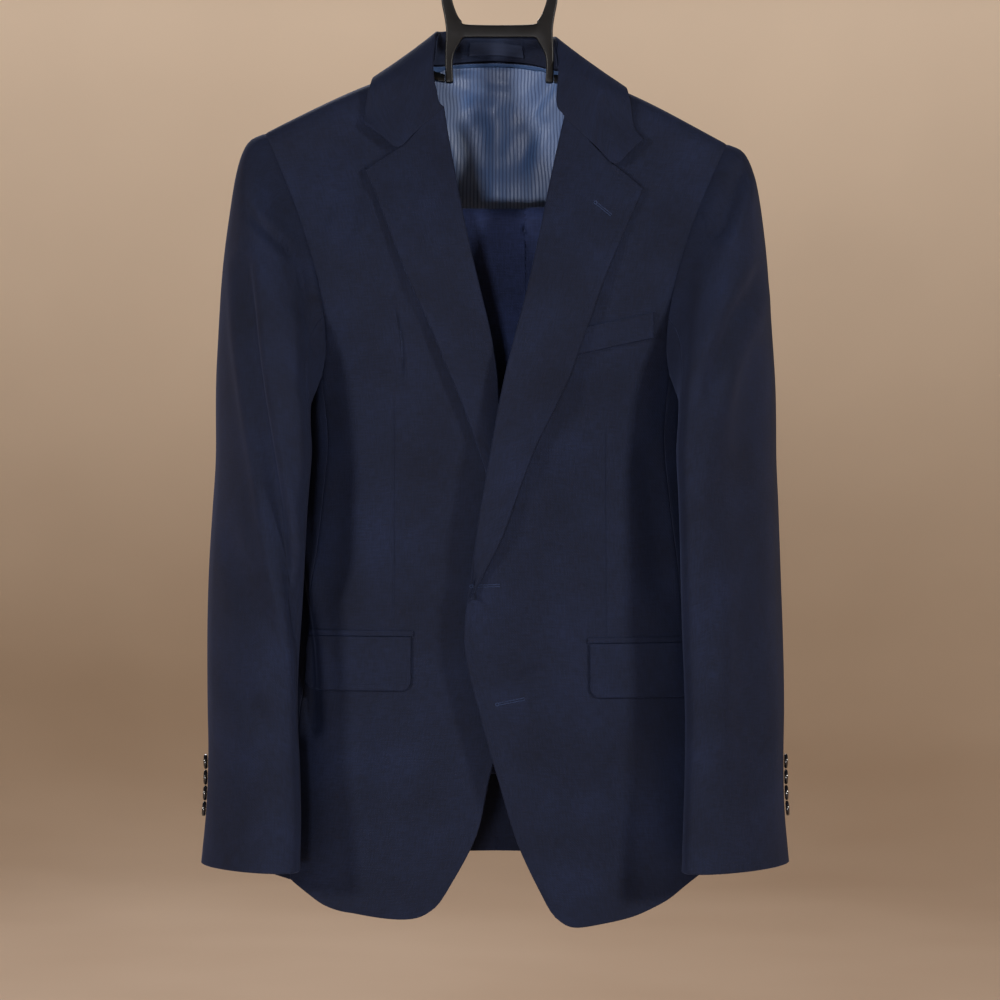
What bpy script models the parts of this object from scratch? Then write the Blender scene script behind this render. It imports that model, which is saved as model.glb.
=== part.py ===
"""A two-piece suit on its hanger: an unbuttoned jacket, and its trousers folded over the hanger's bar.

Metres, +Z up. The origin is the point of the hook that rests on the rail. +X is the wearer's left and
+Y the wearer's back. Distances called "out" run sideways from the jacket's centre to either side.
"""

import math

import bmesh
import bpy
import numpy as np

# Driving dimensions
CLOTH = 0.0020  # wall of the jacket's worsted with its canvas
LEAF = 0.0022  # wall of lapel and collar
LINING = 0.0012
TROUSER_CLOTH = 0.0012
SEAM_EASE = 0.00020  # each piece stops this far short of a seam
JACKET_X = -0.003  # the jacket hangs this far to the side of the hook
JACKET_Y = 0.006  # and this far behind it
ROUNDNESS = 2.3  # exponent of the body's superellipse
RIDGE_RADIUS = 0.022  # the cloth's turn over the shoulder
SWELL = 0.20  # the chest and back reach their full depth this far below the shoulder
NECK_OUT = 0.063  # shoulder neck point
NECK_RISE = 0.022  # the ridge behind the neck rises this far over the centre back seam
RIDGE_BOW = 0.005  # the shoulder's padding lifts its middle
NECK_TURN = (0.036, 0.055)  # the rounder turn behind the neck: extra radius, reach to the sides
NECK_BACK_Z = -0.137  # neck seam at the centre back
ARM_OUT = 0.206  # shoulder point of the armhole
UNDERARM_OUT = 0.168
UNDERARM_Z = -0.440
ARMHOLE_BOW = (0.037, 0.030)  # the armhole curves in towards the chest, and towards the back
BACK_HEM_Z = -0.853
FRONT_SEAM_TURN = 150  # degrees around the armhole from its top, over the front
BACK_SEAM_TURN = 220
CAP_END_Z = -0.495  # the sleeve is a plain tube below this
CAP_AWAY = ((0.021, 0.016), -0.020, (-0.015, 0.012))  # how the cap leaves the armhole: out, y, z
CAP_FALL = 0.65  # share of the cap's height over which it runs straight into the tube
CAP_EASE = 0.004
OVERLAP_LIFT = 0.018  # the left front stands this far off the right front at its edge
LIFT_HEIGHTS = (-0.28, 0.15, -0.76, 0.14)  # the lift grows from a height, over a drop; then eases likewise
LIFT_EASED = 0.6  # share of it left at the hem
LIFT_WIDTH = 0.095
BUTTON_RADIUS = 0.010
BUTTON_DEPTH = 0.004
CUFF_BUTTON_RADIUS = 0.0067
CUFF_BUTTON_DEPTH = 0.003
CUFF_BUTTON_GAP = 0.0007  # from the sleeve's curve
CUFF_BUTTON_PITCH = 0.0137
BUTTON_GAP = 0.0004
BAR_Z = -0.2878
BAR_RADIUS = 0.005
BAR_HALF = 0.150
HOOK_RADIUS = 0.020  # inside
HOOK_ROD = 0.003
HOOK_TURN = (-48, 211, 12)  # degrees round the hook, from its stem to its tip
FRAME_HALF_DEPTH = 0.004

SIDES = {"left": 1, "right": -1}

SHOULDER = {
    # side: height of the neck point, height of the shoulder point
    "left": (-0.151, -0.217),
    "right": (-0.146, -0.208),
}

BODY = (
    # z,    half width, front depth, back depth
    (-0.10, 0.310, 0.066, 0.058),
    (-0.20, 0.290, 0.068, 0.058),
    (-0.36, 0.200, 0.068, 0.056),
    (-0.44, 0.168, 0.066, 0.052),
    (-0.50, 0.169, 0.064, 0.049),
    (-0.60, 0.180, 0.064, 0.048),
    (-0.70, 0.192, 0.065, 0.050),
    (-0.80, 0.201, 0.066, 0.053),
    (-0.92, 0.206, 0.066, 0.055),
)

FRONT_EDGE = (
    # z,     out on the left front, out on the right front
    (-0.146, 0.0630, 0.0630),
    (-0.170, 0.0635, 0.0560),
    (-0.195, 0.0610, 0.0470),
    (-0.250, 0.0492, 0.0363),
    (-0.305, 0.0383, 0.0256),
    (-0.370, 0.0238, 0.0102),
    (-0.412, 0.0124, 0.0010),
    (-0.453, 0.0035, -0.0022),
    (-0.513, -0.0074, -0.0105),
    (-0.578, -0.0183, -0.0170),
    (-0.622, -0.0235, -0.0205),
    (-0.650, -0.0274, -0.0240),
    (-0.700, -0.0183, -0.0150),
    (-0.763, -0.0010, 0.0026),
    (-0.800, 0.0090, 0.0125),
    (-0.837, 0.0212, 0.0209),
    (-0.854, 0.0271, 0.0300),
    (-0.877, 0.0368, 0.0405),
    (-0.894, 0.0487, 0.0575),
)

FRONT_HEM = (
    # out,  z on the left front, z on the right front
    (0.048, -0.8935, -0.8870),
    (0.058, -0.9028, -0.8940),
    (0.072, -0.9043, -0.8985),
    (0.095, -0.9014, -0.8985),
    (0.120, -0.8965, -0.8950),
    (0.145, -0.8862, -0.8905),
    (0.160, -0.8770, -0.8825),
    (0.172, -0.8670, -0.8735),
    (0.185, -0.8600, -0.8650),
)

LAPEL_EDGE = (
    # z,     out on the left lapel, out on the right lapel
    (-0.2457, 0.1345, 0.1130),
    (-0.2622, 0.1279, 0.1060),
    (-0.3000, 0.1112, 0.0915),
    (-0.3430, 0.0925, 0.0748),
    (-0.3814, 0.0783, 0.0571),
    (-0.4110, 0.0667, 0.0450),
    (-0.4440, 0.0543, 0.0310),
    (-0.4667, 0.0411, 0.0226),
    (-0.5170, 0.0209, 0.0060),
    (-0.5670, 0.0035, -0.0085),
    (-0.6000, -0.0118, -0.0155),
    (-0.6220, -0.0225, -0.0195),
)

LEAVES = {
    # side: gorge start, notch and lapel point as (out, z), then the collar's own point
    "left": ((0.0605, -0.1996), (0.1035, -0.2422), (0.1279, -0.2622), (0.1279, -0.2187)),
    "right": ((0.0465, -0.1910), (0.0850, -0.2274), (0.1130, -0.2457), (0.1140, -0.2048)),
}
NOTCH_SHARE = 0.6  # of the way from roll line to outer edge
LEAF_STAND = (0.0036, 0.0040, 0.6)  # a leaf's outer face off its front: at the roll, extra, share of the arch
LAPEL_TIP = 0.0025  # width left at the lapel's foot
LAPEL_END_Z = -0.620

COLLAR = (
    # place on the body, fold out, fold y, fold z, edge out, edge z
    ("front", 0.0550, -0.031, -0.1800, 0.1145, -0.1960),
    ("front", 0.0570, -0.018, -0.1440, 0.1105, -0.1720),
    ("ridge", 0.0550, 0.003, -0.1190, 0.1060, -0.1500),
    ("back", 0.0500, 0.028, -0.1130, 0.0800, -0.1580),
    ("back", 0.0280, 0.044, -0.1110, 0.0400, -0.1580),
)
COLLAR_BACK = (0.0, 0.0490, -0.1105, 0.0, -0.1570)  # fold out, y, z, edge out, z at the centre back

SLEEVE = (
    # z,     inner on the left, inner on the right, outer, half thickness, turn in degrees, middle y
    (-0.495, 0.1560, 0.1595, 0.2540, 0.031, 26.0, -0.012),
    (-0.590, 0.1590, 0.1660, 0.2570, 0.030, 29.0, -0.024),
    (-0.700, 0.1620, 0.1710, 0.2565, 0.029, 34.0, -0.040),
    (-0.790, 0.1610, 0.1675, 0.2545, 0.028, 40.0, -0.054),
    (-0.853, 0.1590, 0.1680, 0.2590, 0.029, 42.0, -0.060),
)

TROUSER_RUN = (
    # place, z or degrees over the bar, middle x, half width
    ("front", -0.770, 0.0227, 0.092),
    ("front", -0.640, 0.0227, 0.098),
    ("front", -0.500, 0.0227, 0.103),
    ("front", -0.370, 0.0227, 0.107),
    ("over", 0.0, 0.0227, 0.109),
    ("over", 45.0, 0.0227, 0.110),
    ("over", 90.0, 0.0227, 0.110),
    ("over", 135.0, 0.0227, 0.110),
    ("over", 180.0, 0.0227, 0.110),
    ("back", -0.370, 0.0220, 0.113),
    ("back", -0.500, 0.0180, 0.121),
    ("back", -0.640, 0.0140, 0.130),
    ("back", -0.742, 0.0120, 0.126),
)
TUBE_DEPTH = 0.0038  # a leg pressed flat
LAYER_GAP = 0.0004
WAISTBAND_HEIGHT = 0.036

COLLAR_LOWER = {"left": -0.0045, "right": 0.0}  # the shoulders hang unevenly
COLLAR_WIDER = {"left": 0.006, "right": 0.0}
COLLAR_STAND_OFF = 0.0048  # from the body to the outer face of the collar's edge
STAND_GAP = 0.0006
STAND_WALL = 0.0012
STAND_TOP_DROP = 0.0018  # its top below the collar's fold
STAND_END_DROP = 0.010  # its front end below the collar's fold
STAND_FEET = (0.0600, 0.0625, 0.0520, 0.0300)  # out, below each fold after the first
LINING_GAP = 0.0039
LINING_EDGE = (
    # z,     out of the lining's outer edge
    (-0.235, 0.150),
    (-0.330, 0.142),
    (-0.430, 0.134),
    (-0.500, 0.124),
    (-0.600, 0.130),
    (-0.700, 0.138),
    (-0.840, 0.146),
)
LINING_ROWS = 10
LINING_TOP = (0.0, 0.020, 0.038, 0.051, 0.085, 0.120, 0.150)  # out, of the columns at its top
LINING_NECK_DROP = 0.002  # its top below the neck seam
LABEL_WALL = 0.0010
LABEL_REACH = 0.85  # of the way to the stand's next section
LABEL_HEIGHTS = (0.2, 0.7)  # shares of the stand's height
LABEL_GAP = 0.0006
FLAP = {
    # side: front end and back end out from the centre, height of its top
    "left": (0.0818, 0.1720, -0.6598),
    "right": (0.0740, 0.1680, -0.6537),
}
FLAP_HEIGHT = 0.046
FLAP_CORNER = 0.008
FLAP_FACE = 0.0028  # from the front to the flap's outer face
FLAP_WALL = 0.0018
JETTING_HEIGHT = 0.005
JETTING_GAP = 0.0004  # over the flap
JETTING_FACE = 0.0020
JETTING_LONGER = 0.002  # than the flap, in front
FLAP_ROWS = 3
FLAP_COLUMNS = 8
WELT = (0.038, 0.1366, -0.3927, -0.3710, 0.231)  # out from, out to, low and high z at its end, slope
WELT_COLUMNS = 7
FRONT_BUTTONS = (
    # name, out on the right front, z
    ("front_button_upper", -0.0035, -0.6120),
    ("front_button_lower", 0.0010, -0.7130),
)
CUFF_BUTTON_TOP_Z = -0.7660
CUFF_BUTTON_TURN = -62
BAND_WALL = 0.0016
BAR_BEND = 0.012
BAR_ARM = 4  # row of SHOULDER_ARM that carries the bar's drops
BAR_GAP = 0.0008  # from the arm's underside
HOOK_STEM = (
    # x, z
    (0.0000, -0.0557),
    (0.0005, -0.0500),
    (0.0045, -0.0442),
    (0.0100, -0.0405),
)

SHOULDER_ARM = (
    # out, half depth, height, drop of its top below the cloth's ridge
    (0.0485, 0.0040, 0.0075, None),
    (0.0680, 0.0060, 0.0095, 0.0027),
    (0.0900, 0.0080, 0.0115, 0.0027),
    (0.1200, 0.0090, 0.0125, 0.0027),
    (0.1500, 0.0090, 0.0125, 0.0027),
    (0.1750, 0.0080, 0.0110, 0.0027),
    (0.1930, 0.0060, 0.0080, 0.0032),
)
SHOULDER_ARM_START_Z = -0.1560

FRAME_OUTER = (
    # out, z of the neck frame's outer outline, from the top of its arch down to the end of its leg
    (0.0000, -0.0560),
    (0.0200, -0.0575),
    (0.0390, -0.0640),
    (0.0495, -0.0760),
    (0.0517, -0.0891),
    (0.0490, -0.1050),
    (0.0475, -0.1170),
    (0.0478, -0.1290),
    (0.0482, -0.1380),
    (0.0482, -0.1640),
    (0.0410, -0.1640),
    (0.0410, -0.1410),
    (0.0325, -0.1238),
)
FRAME_HOLE = (
    # out, z of the opening between arch and crossbar
    (0.0000, -0.0665),
    (0.0180, -0.0670),
    (0.0330, -0.0720),
    (0.0400, -0.0800),
    (0.0420, -0.0891),
    (0.0385, -0.1010),
    (0.0340, -0.1085),
    (0.0265, -0.1123),
)

# Samples along shared seams
SHOULDER_STEPS = 9
NECK_STEPS = 3
BELOW_ARM_STEPS = 8
FRONT_ARM_TURNS = (0, 12, 25, 46, 69, 92, 115, 132.5, 150)
SIDE_ARM_TURNS = (150, 173, 197, 220)
BACK_ARM_TURNS = (360, 348, 335, 315, 298, 280, 250, 220)
TOP_SLEEVE_TURNS = (-80, -62, -45, -25, -12, 0, 12, 25, 46, 69, 92, 115)
ROW_CROWDING = 1.8  # how much the rows crowd towards the shoulder ridge
UNDER_SLEEVE_TURNS = (115, 132.5, 150, 173, 197, 220, 250, 280)
CAP_STEPS = 6
TUBE_STEPS = 8
LAPEL_SHARES = (0.0, 0.2, 0.4, 0.6, 0.8, 1.0)
LAPEL_STEPS = 13


# Small sums

def lerp(a, b, share):
    return a + (b - a) * share


def smooth(share):
    share = min(max(share, 0.0), 1.0)
    return share * share * (3 - 2 * share)


def lookup(rows, key, column):
    """A column's value at key, on a smooth curve through a table whose first column rises or falls."""
    keys = [row[0] for row in rows]
    values = [row[column] for row in rows]
    if keys[0] > keys[-1]:
        keys.reverse()
        values.reverse()
    key = min(max(key, keys[0]), keys[-1])
    last = len(keys) - 1
    i = min(max(sum(k <= key for k in keys) - 1, 0), last - 1)

    def slope(j):
        below, above = max(j - 1, 0), min(j + 1, last)
        return (values[above] - values[below]) / (keys[above] - keys[below])

    width = keys[i + 1] - keys[i]
    t = (key - keys[i]) / width
    start = (1 + 2 * t) * (1 - t) ** 2 * values[i] + t * (1 - t) ** 2 * width * slope(i)
    end = t * t * (3 - 2 * t) * values[i + 1] - t * t * (1 - t) * width * slope(i + 1)
    return start + end


def side_column(side):
    """The column of a two-sided table."""
    return 1 if side == "left" else 2


# The hung jacket's form

def ridge_z(side, out, behind=False):
    """Height of the shoulder ridge. Behind the neck it rises to a round back neck."""
    neck_z, arm_z = SHOULDER[side]
    share = (out - NECK_OUT) / (ARM_OUT - NECK_OUT)
    if behind and out < NECK_OUT:
        return neck_z + (NECK_BACK_Z + NECK_RISE - neck_z) * math.sqrt(1 - (out / NECK_OUT) ** 2)
    return lerp(neck_z, arm_z, share) + RIDGE_BOW * math.sin(math.pi * min(max(share, 0.0), 1.0))


def rolled(drop, radius, depth):
    """Depth of a panel this far below its ridge: a round turn, then a slow swell to the full depth."""
    turn = min(max(drop, 0.0) / radius, 1.0)
    return radius * math.sqrt(1 - (1 - turn) ** 2) + (depth - radius) * smooth(drop / SWELL)


def taper(out, half):
    return max(1 - (abs(out) / half) ** ROUNDNESS, 0.0) ** (1 / ROUNDNESS)


def overlap_lift(side, out, z):
    """How far the left front stands off the right one that it lies over, most at its edge."""
    if side == "right":
        return 0.0
    edge = lookup(FRONT_EDGE, z, 1)
    grow_z, grow_drop, ease_z, ease_drop = LIFT_HEIGHTS
    height = smooth((grow_z - z) / grow_drop) * lerp(1.0, LIFT_EASED, smooth((ease_z - z) / ease_drop))
    return OVERLAP_LIFT * height * (1 - smooth((out - edge) / LIFT_WIDTH))


def front_point(side, out, z):
    depth = rolled(ridge_z(side, out) - z, RIDGE_RADIUS, lookup(BODY, z, 2))
    y = -depth * taper(out, lookup(BODY, z, 1)) - overlap_lift(side, out, z)
    return np.array((out, y, z))


def back_point(side, out, z):
    extra, reach = NECK_TURN
    radius = RIDGE_RADIUS + extra * math.exp(-((out / reach) ** 2))
    depth = rolled(ridge_z(side, out, True) - z, radius, lookup(BODY, z, 3))
    return np.array((out, depth * taper(out, lookup(BODY, z, 1)), z))


def side_point(angle, z):
    """A point of the flank: angle 0 is its middle, positive in front and negative behind, in radians."""
    half, front, back = (lookup(BODY, z, column) for column in (1, 2, 3))
    power = 2 / ROUNDNESS
    depth = -front if angle > 0 else back
    return np.array((half * math.cos(angle) ** power, depth * abs(math.sin(angle)) ** power, z))


def side_angle(point):
    share = min(point[0] / lookup(BODY, point[2], 1), 1.0)
    return math.copysign(math.acos(share ** (ROUNDNESS / 2)), -point[1])


def off_panel(surface, side, out, z, distance):
    """A point that lies this far outside a panel."""
    step = 0.001
    across = surface(side, out + step, z) - surface(side, out - step, z)
    down = surface(side, out, z - step) - surface(side, out, z + step)
    normal = np.cross(across, down)
    if surface is front_point:
        normal = -normal
    return surface(side, out, z) + normal / np.linalg.norm(normal) * distance


def armhole(side, turn):
    """A point of the armhole seam, by degrees from the shoulder point: 90 in front, 180 under, 270 behind."""
    angle = math.radians(turn)
    share = (1 - math.cos(angle)) / 2
    bow = ARMHOLE_BOW[0] if math.sin(angle) > 0 else ARMHOLE_BOW[1]
    out = lerp(ARM_OUT, UNDERARM_OUT, share) - bow * abs(math.sin(angle)) * math.sqrt(share)
    z = lerp(SHOULDER[side][1], UNDERARM_Z, share)
    surface = front_point if math.sin(angle) >= 0 else back_point
    return surface(side, out, z)


# Grids of points: rows run down, columns run out from the centre or round a sleeve

def patch(top, bottom, inner, outer):
    """Fills four border curves: top and bottom have the columns, inner and outer the rows."""
    rows, columns = len(inner), len(top)
    grid = np.zeros((rows, columns, len(top[0])))
    for i in range(rows):
        for j in range(columns):
            v, u = i / (rows - 1), j / (columns - 1)
            across = lerp(inner[i], outer[i], u)
            along = lerp(top[j], bottom[j], v)
            corners = lerp(lerp(top[0], top[-1], u), lerp(bottom[0], bottom[-1], u), v)
            grid[i, j] = across + along - corners
    return grid


def seam_heights(side, turn):
    """Heights of the seam points from the armhole down to the hem."""
    start = armhole(side, turn)
    share = start[0] / lookup(BODY, start[2], 1)
    if turn == FRONT_SEAM_TURN:
        end = lookup(FRONT_HEM, share * lookup(BODY, -0.87, 1), side_column(side))
    else:
        end = BACK_HEM_Z - 0.002
    heights = [lerp(start[2], end, i / BELOW_ARM_STEPS) for i in range(BELOW_ARM_STEPS + 1)]
    return share, heights


def shoulder_seam(side):
    shares = (i / SHOULDER_STEPS for i in range(SHOULDER_STEPS + 1))
    outs = [lerp(NECK_OUT, ARM_OUT, share) for share in shares]
    return [np.array((out, ridge_z(side, out))) for out in outs]


def panel_outer(side, turns, seam_turn):
    """Border of a front or back panel from shoulder point to hem, as (out, z)."""
    share, heights = seam_heights(side, seam_turn)
    seam = [np.array((share * lookup(BODY, z, 1), z)) for z in heights[1:]]
    return [armhole(side, turn)[[0, 2]] for turn in turns] + seam


def front_grid(side):
    column = side_column(side)
    outer = panel_outer(side, FRONT_ARM_TURNS, FRONT_SEAM_TURN)
    top = shoulder_seam(side)
    corner_z = lookup(FRONT_HEM, 0.048, column)
    arm_rows = len(FRONT_ARM_TURNS)
    inner = []
    for i, point in enumerate(outer):
        if i < arm_rows:
            z = lerp(top[0][1], outer[arm_rows - 1][1], (i / (arm_rows - 1)) ** ROW_CROWDING)
        else:
            z = lerp(outer[arm_rows - 1][1], corner_z, (i - arm_rows + 1) / BELOW_ARM_STEPS)
        inner.append(np.array((lookup(FRONT_EDGE, z, column), z)))
    inner[0] = top[0]
    bottom = []
    for j in range(len(top)):
        out = lerp(inner[-1][0], outer[-1][0], j / (len(top) - 1))
        bottom.append(np.array((out, lookup(FRONT_HEM, out, column))))
    bottom[0], bottom[-1] = inner[-1], outer[-1]
    flat = patch(top, bottom, inner, outer)
    return np.array([[front_point(side, *point) for point in row] for row in flat])


def neck_seam(out, side):
    share = out / NECK_OUT
    return lerp(NECK_BACK_Z, SHOULDER[side][0], share * share)


def back_grid(side):
    outer = panel_outer(side, BACK_ARM_TURNS, BACK_SEAM_TURN)
    neck = [NECK_OUT * math.sin(math.pi / 2 * j / NECK_STEPS) for j in range(NECK_STEPS)]
    top = [np.array((out, neck_seam(out, side))) for out in neck] + shoulder_seam(side)
    arm_rows = len(BACK_ARM_TURNS)
    turn_z = (armhole("left", BACK_SEAM_TURN)[2] + armhole("right", BACK_SEAM_TURN)[2]) / 2
    inner = []
    for i in range(len(outer)):
        if i < arm_rows:
            z = lerp(NECK_BACK_Z, turn_z, (i / (arm_rows - 1)) ** ROW_CROWDING)
        else:
            z = lerp(inner[arm_rows - 1][1], BACK_HEM_Z, (i - arm_rows + 1) / BELOW_ARM_STEPS)
        inner.append(np.array((0.0, z)))
    bottom = [lerp(inner[-1], outer[-1], j / (len(top) - 1)) for j in range(len(top))]
    flat = patch(top, bottom, inner, outer)
    return np.array([[back_point(side, *point) for point in row] for row in flat])


def side_grid(side):
    tops = [armhole(side, turn) for turn in SIDE_ARM_TURNS]
    front_share, front_heights = seam_heights(side, FRONT_SEAM_TURN)
    back_share, back_heights = seam_heights(side, BACK_SEAM_TURN)
    first = math.acos(front_share ** (ROUNDNESS / 2))
    last = -math.acos(back_share ** (ROUNDNESS / 2))
    grid = []
    for i in range(BELOW_ARM_STEPS + 1):
        v = i / BELOW_ARM_STEPS
        row = []
        for j, top in enumerate(tops):
            u = j / (len(tops) - 1)
            z = lerp(top[2], lerp(front_heights[-1], back_heights[-1], u), v)
            angle = lerp(side_angle(top), lerp(first, last, u), smooth(v * 2))
            row.append(side_point(angle, z))
        grid.append(row)
    grid[0] = tops
    return np.array(grid)


def sleeve_ring(side, turn, z):
    """A point of the sleeve's tube: a flattened ring, turned so that its front edge lies inward."""
    inner = lookup(SLEEVE, z, side_column(side))
    outer, thin, turned, middle_y = (lookup(SLEEVE, z, column) for column in (3, 4, 5, 6))
    turned = math.radians(turned)
    half = (outer - inner) / 2
    wide = math.sqrt(half**2 - (thin * math.cos(turned)) ** 2) / math.sin(turned)
    along = wide * math.sin(math.radians(turn))
    across = thin * math.cos(math.radians(turn))
    out = (outer + inner) / 2 + across * math.cos(turned) - along * math.sin(turned)
    y = middle_y - across * math.sin(turned) - along * math.cos(turned)
    return np.array((out, y, z))


def sleeve_point(side, turn, down):
    """A point of the sleeve: down runs from 0 at the armhole to 1 at the tube's start and 2 at the cuff."""
    if down > 1:
        return sleeve_ring(side, turn, lerp(CAP_END_Z, SLEEVE[-1][0], down - 1))
    angle = math.radians(turn)
    start = armhole(side, turn % 360)
    end = sleeve_ring(side, turn, CAP_END_Z)
    height = start[2] - end[2]
    (out, out_top), y_side, (z, z_top) = CAP_AWAY
    top = math.cos(angle)
    first = start + np.array((out + out_top * top, y_side * math.sin(angle), z + z_top * top))
    second = end + np.array((CAP_EASE, 0.0, CAP_FALL * height))
    near, far = (1 - down), down
    return near**3 * start + 3 * near**2 * far * first + 3 * near * far**2 * second + far**3 * end


def sleeve_grid(side, turns):
    downs = [i / CAP_STEPS for i in range(CAP_STEPS)]
    downs += [1 + i / TUBE_STEPS for i in range(TUBE_STEPS + 1)]
    return np.array([[sleeve_point(side, turn, down) for turn in turns] for down in downs])


def gorge(side, share):
    """A point of the seam between lapel and collar, which goes on as the lapel's notch edge."""
    start, notch, point, _ = LEAVES[side]
    if share <= NOTCH_SHARE:
        return lerp(np.array(start), np.array(notch), share / NOTCH_SHARE)
    return lerp(np.array(notch), np.array(point), (share - NOTCH_SHARE) / (1 - NOTCH_SHARE))


def leaf_stand(share):
    """How far a leaf's outer face stands off its front, from the roll line to the outer edge."""
    least, extra, arch = LEAF_STAND
    return least + extra * math.sin(math.pi * share * arch)


def lapel_grid(side):
    column = side_column(side)
    start_z, point_z = gorge(side, 0)[1], gorge(side, 1)[1]
    inner, outer = [], []
    for i in range(LAPEL_STEPS + 1):
        v = i / LAPEL_STEPS
        inner_z, outer_z = lerp(start_z, LAPEL_END_Z, v), lerp(point_z, LAPEL_END_Z, v)
        inner.append(np.array((lookup(FRONT_EDGE, inner_z, column), inner_z)))
        outer.append(np.array((lookup(LAPEL_EDGE, outer_z, column), outer_z)))
    top = [gorge(side, share) for share in LAPEL_SHARES]
    inner[0], outer[0] = top[0], top[-1]
    outer[-1] = inner[-1] + np.array((LAPEL_TIP, 0.0))
    bottom = [lerp(inner[-1], outer[-1], share) for share in LAPEL_SHARES]
    flat = patch(top, bottom, inner, outer)
    grid = []
    for row in flat:
        pairs = zip(row, LAPEL_SHARES)
        grid.append([off_panel(front_point, side, *point, leaf_stand(share)) for point, share in pairs])
    return np.array(grid)


def placed(side, grid):
    """Turns distances out from the centre into x."""
    moved = np.array(grid, float)
    moved[..., 0] = JACKET_X + SIDES[side] * moved[..., 0]
    moved[..., 1] += JACKET_Y
    return moved


def collar_stations(side):
    """The collar's sections, each from fold to outer edge, from its front end to near the centre back."""
    lower, wider = COLLAR_LOWER[side], COLLAR_WIDER[side]
    notch, tip = np.array(LEAVES[side][1]), np.array(LEAVES[side][3])
    end = []
    for share in LAPEL_SHARES:
        if share <= NOTCH_SHARE:
            out, z = gorge(side, share)
        else:
            out, z = lerp(notch, tip, (share - NOTCH_SHARE) / (1 - NOTCH_SHARE))
        end.append(off_panel(front_point, side, out, z, leaf_stand(share)))
    stations = [end]
    for place, fold_out, fold_y, fold_z, edge_out, edge_z in COLLAR:
        out, z = edge_out, edge_z + lower
        if place == "front":
            edge = off_panel(front_point, side, out + wider, z + lower, COLLAR_STAND_OFF)
        elif place == "ridge":
            edge = np.array((out + wider, 0.0, ridge_z(side, out + wider) + COLLAR_STAND_OFF))
        else:
            edge = off_panel(back_point, side, out, z, COLLAR_STAND_OFF)
        stations.append(leaf_row(np.array((fold_out, fold_y, fold_z + lower)), edge))
    return stations


def leaf_row(fold, edge):
    return [lerp(fold, edge, share) for share in LAPEL_SHARES]


def collar_grid():
    out, y, z, edge_out, edge_z = COLLAR_BACK
    edge = off_panel(back_point, "right", edge_out, edge_z, COLLAR_STAND_OFF)
    middle = placed("right", [leaf_row(np.array((out, y, z)), edge)])
    left, right = (placed(side, collar_stations(side)) for side in SIDES)
    return np.concatenate([right, middle, left[::-1]])


def stand_station(side, place, foot_out, fold):
    """The collar stand's section, from the neck seam up to just inside the fold."""
    if place == "front":
        foot = front_point(side, foot_out, fold[2] - STAND_END_DROP)
    elif place == "ridge":
        foot = np.array((foot_out, 0.0, ridge_z(side, foot_out)))
    else:
        foot = back_point(side, foot_out, neck_seam(foot_out, side))
    foot = foot + np.array((0.0, 0.0, STAND_GAP))
    inward = -np.array((fold[0], fold[1], 0.0)) / math.hypot(fold[0], fold[1])
    top = fold + inward * (LEAF + STAND_GAP) - np.array((0.0, 0.0, STAND_TOP_DROP))
    return [lerp(foot, top, share) for share in (0.0, 0.5, 1.0)]


def stand_grid():
    """The collar stand, round the back of the neck from one side of the front to the other."""
    halves = {}
    for side in SIDES:
        lower = COLLAR_LOWER[side]
        rows = []
        for (place, fold_out, fold_y, fold_z, _, _), foot_out in zip(COLLAR[1:], STAND_FEET):
            fold = np.array((fold_out, fold_y, fold_z + lower))
            rows.append(stand_station(side, place, foot_out, fold))
        halves[side] = placed(side, rows)
    fold = np.array(COLLAR_BACK[:3])
    middle = placed("right", [stand_station("right", "back", 0.0, fold)])
    return np.concatenate([halves["right"], middle, halves["left"][::-1]])


def flap_grid(side):
    """A pocket flap with round lower corners, from its front end back round the flank."""
    start, end, top_z = FLAP[side]
    grid = []
    for i in range(FLAP_ROWS + 1):
        row = []
        for j in range(FLAP_COLUMNS + 1):
            out = lerp(start, end, j / FLAP_COLUMNS)
            near = min(out - start, end - out, FLAP_CORNER)
            rise = FLAP_CORNER - math.sqrt(FLAP_CORNER**2 - (FLAP_CORNER - near) ** 2)
            z = top_z - (FLAP_HEIGHT - rise) * i / FLAP_ROWS
            row.append(off_panel(front_point, side, out, z, FLAP_FACE))
        grid.append(row)
    return np.array(grid)


def strip_grid(side, start, end, low_z, high_z, face, columns, slope=0.0):
    """A band laid on a front panel, with its lower and upper height at its outer end."""
    grid = []
    for z in (high_z, (high_z + low_z) / 2, low_z):
        outs = [lerp(start, end, j / columns) for j in range(columns + 1)]
        grid.append([off_panel(front_point, side, out, z - (end - out) * slope, face) for out in outs])
    return np.array(grid)


# The trousers

def run_point(place, value, x, height):
    """A point this far out from the middle of the bar, on the way over it."""
    if place == "over":
        angle = math.radians(value)
        return np.array((x, JACKET_Y - height * math.cos(angle), BAR_Z + height * math.sin(angle)))
    return np.array((x, JACKET_Y + (height if place == "back" else -height), value))


def pressed_section(base, depth, middle, half, crease, reach=0.0):
    """Half of a pressed tube: from its middle round one crease and back, as (x, height) pairs.

    Crease is 1 or -1. Reach carries the two ends past the middle, towards the other crease.
    """
    radius = depth / 2
    edge = middle + crease * (half - radius)
    start = middle - crease * reach
    upper = [(start, base + depth), (lerp(start, edge, 0.5), base + depth)]
    turn = [math.radians(90 - 45 * k) for k in range(5)]
    rounded = [(edge + crease * radius * math.cos(a), base + radius + radius * math.sin(a)) for a in turn]
    return upper + rounded + [(x, base) for x, _ in reversed(upper)]


def leg_grid(leg, crease):
    base = BAR_RADIUS + LAYER_GAP + leg * (TUBE_DEPTH + LAYER_GAP)
    grid = []
    for place, value, middle, half in TROUSER_RUN:
        seam = middle + crease * SEAM_EASE
        section = pressed_section(base, TUBE_DEPTH, seam, half, crease)
        grid.append([run_point(place, value, x, height) for x, height in section])
    return np.array(grid)


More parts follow.
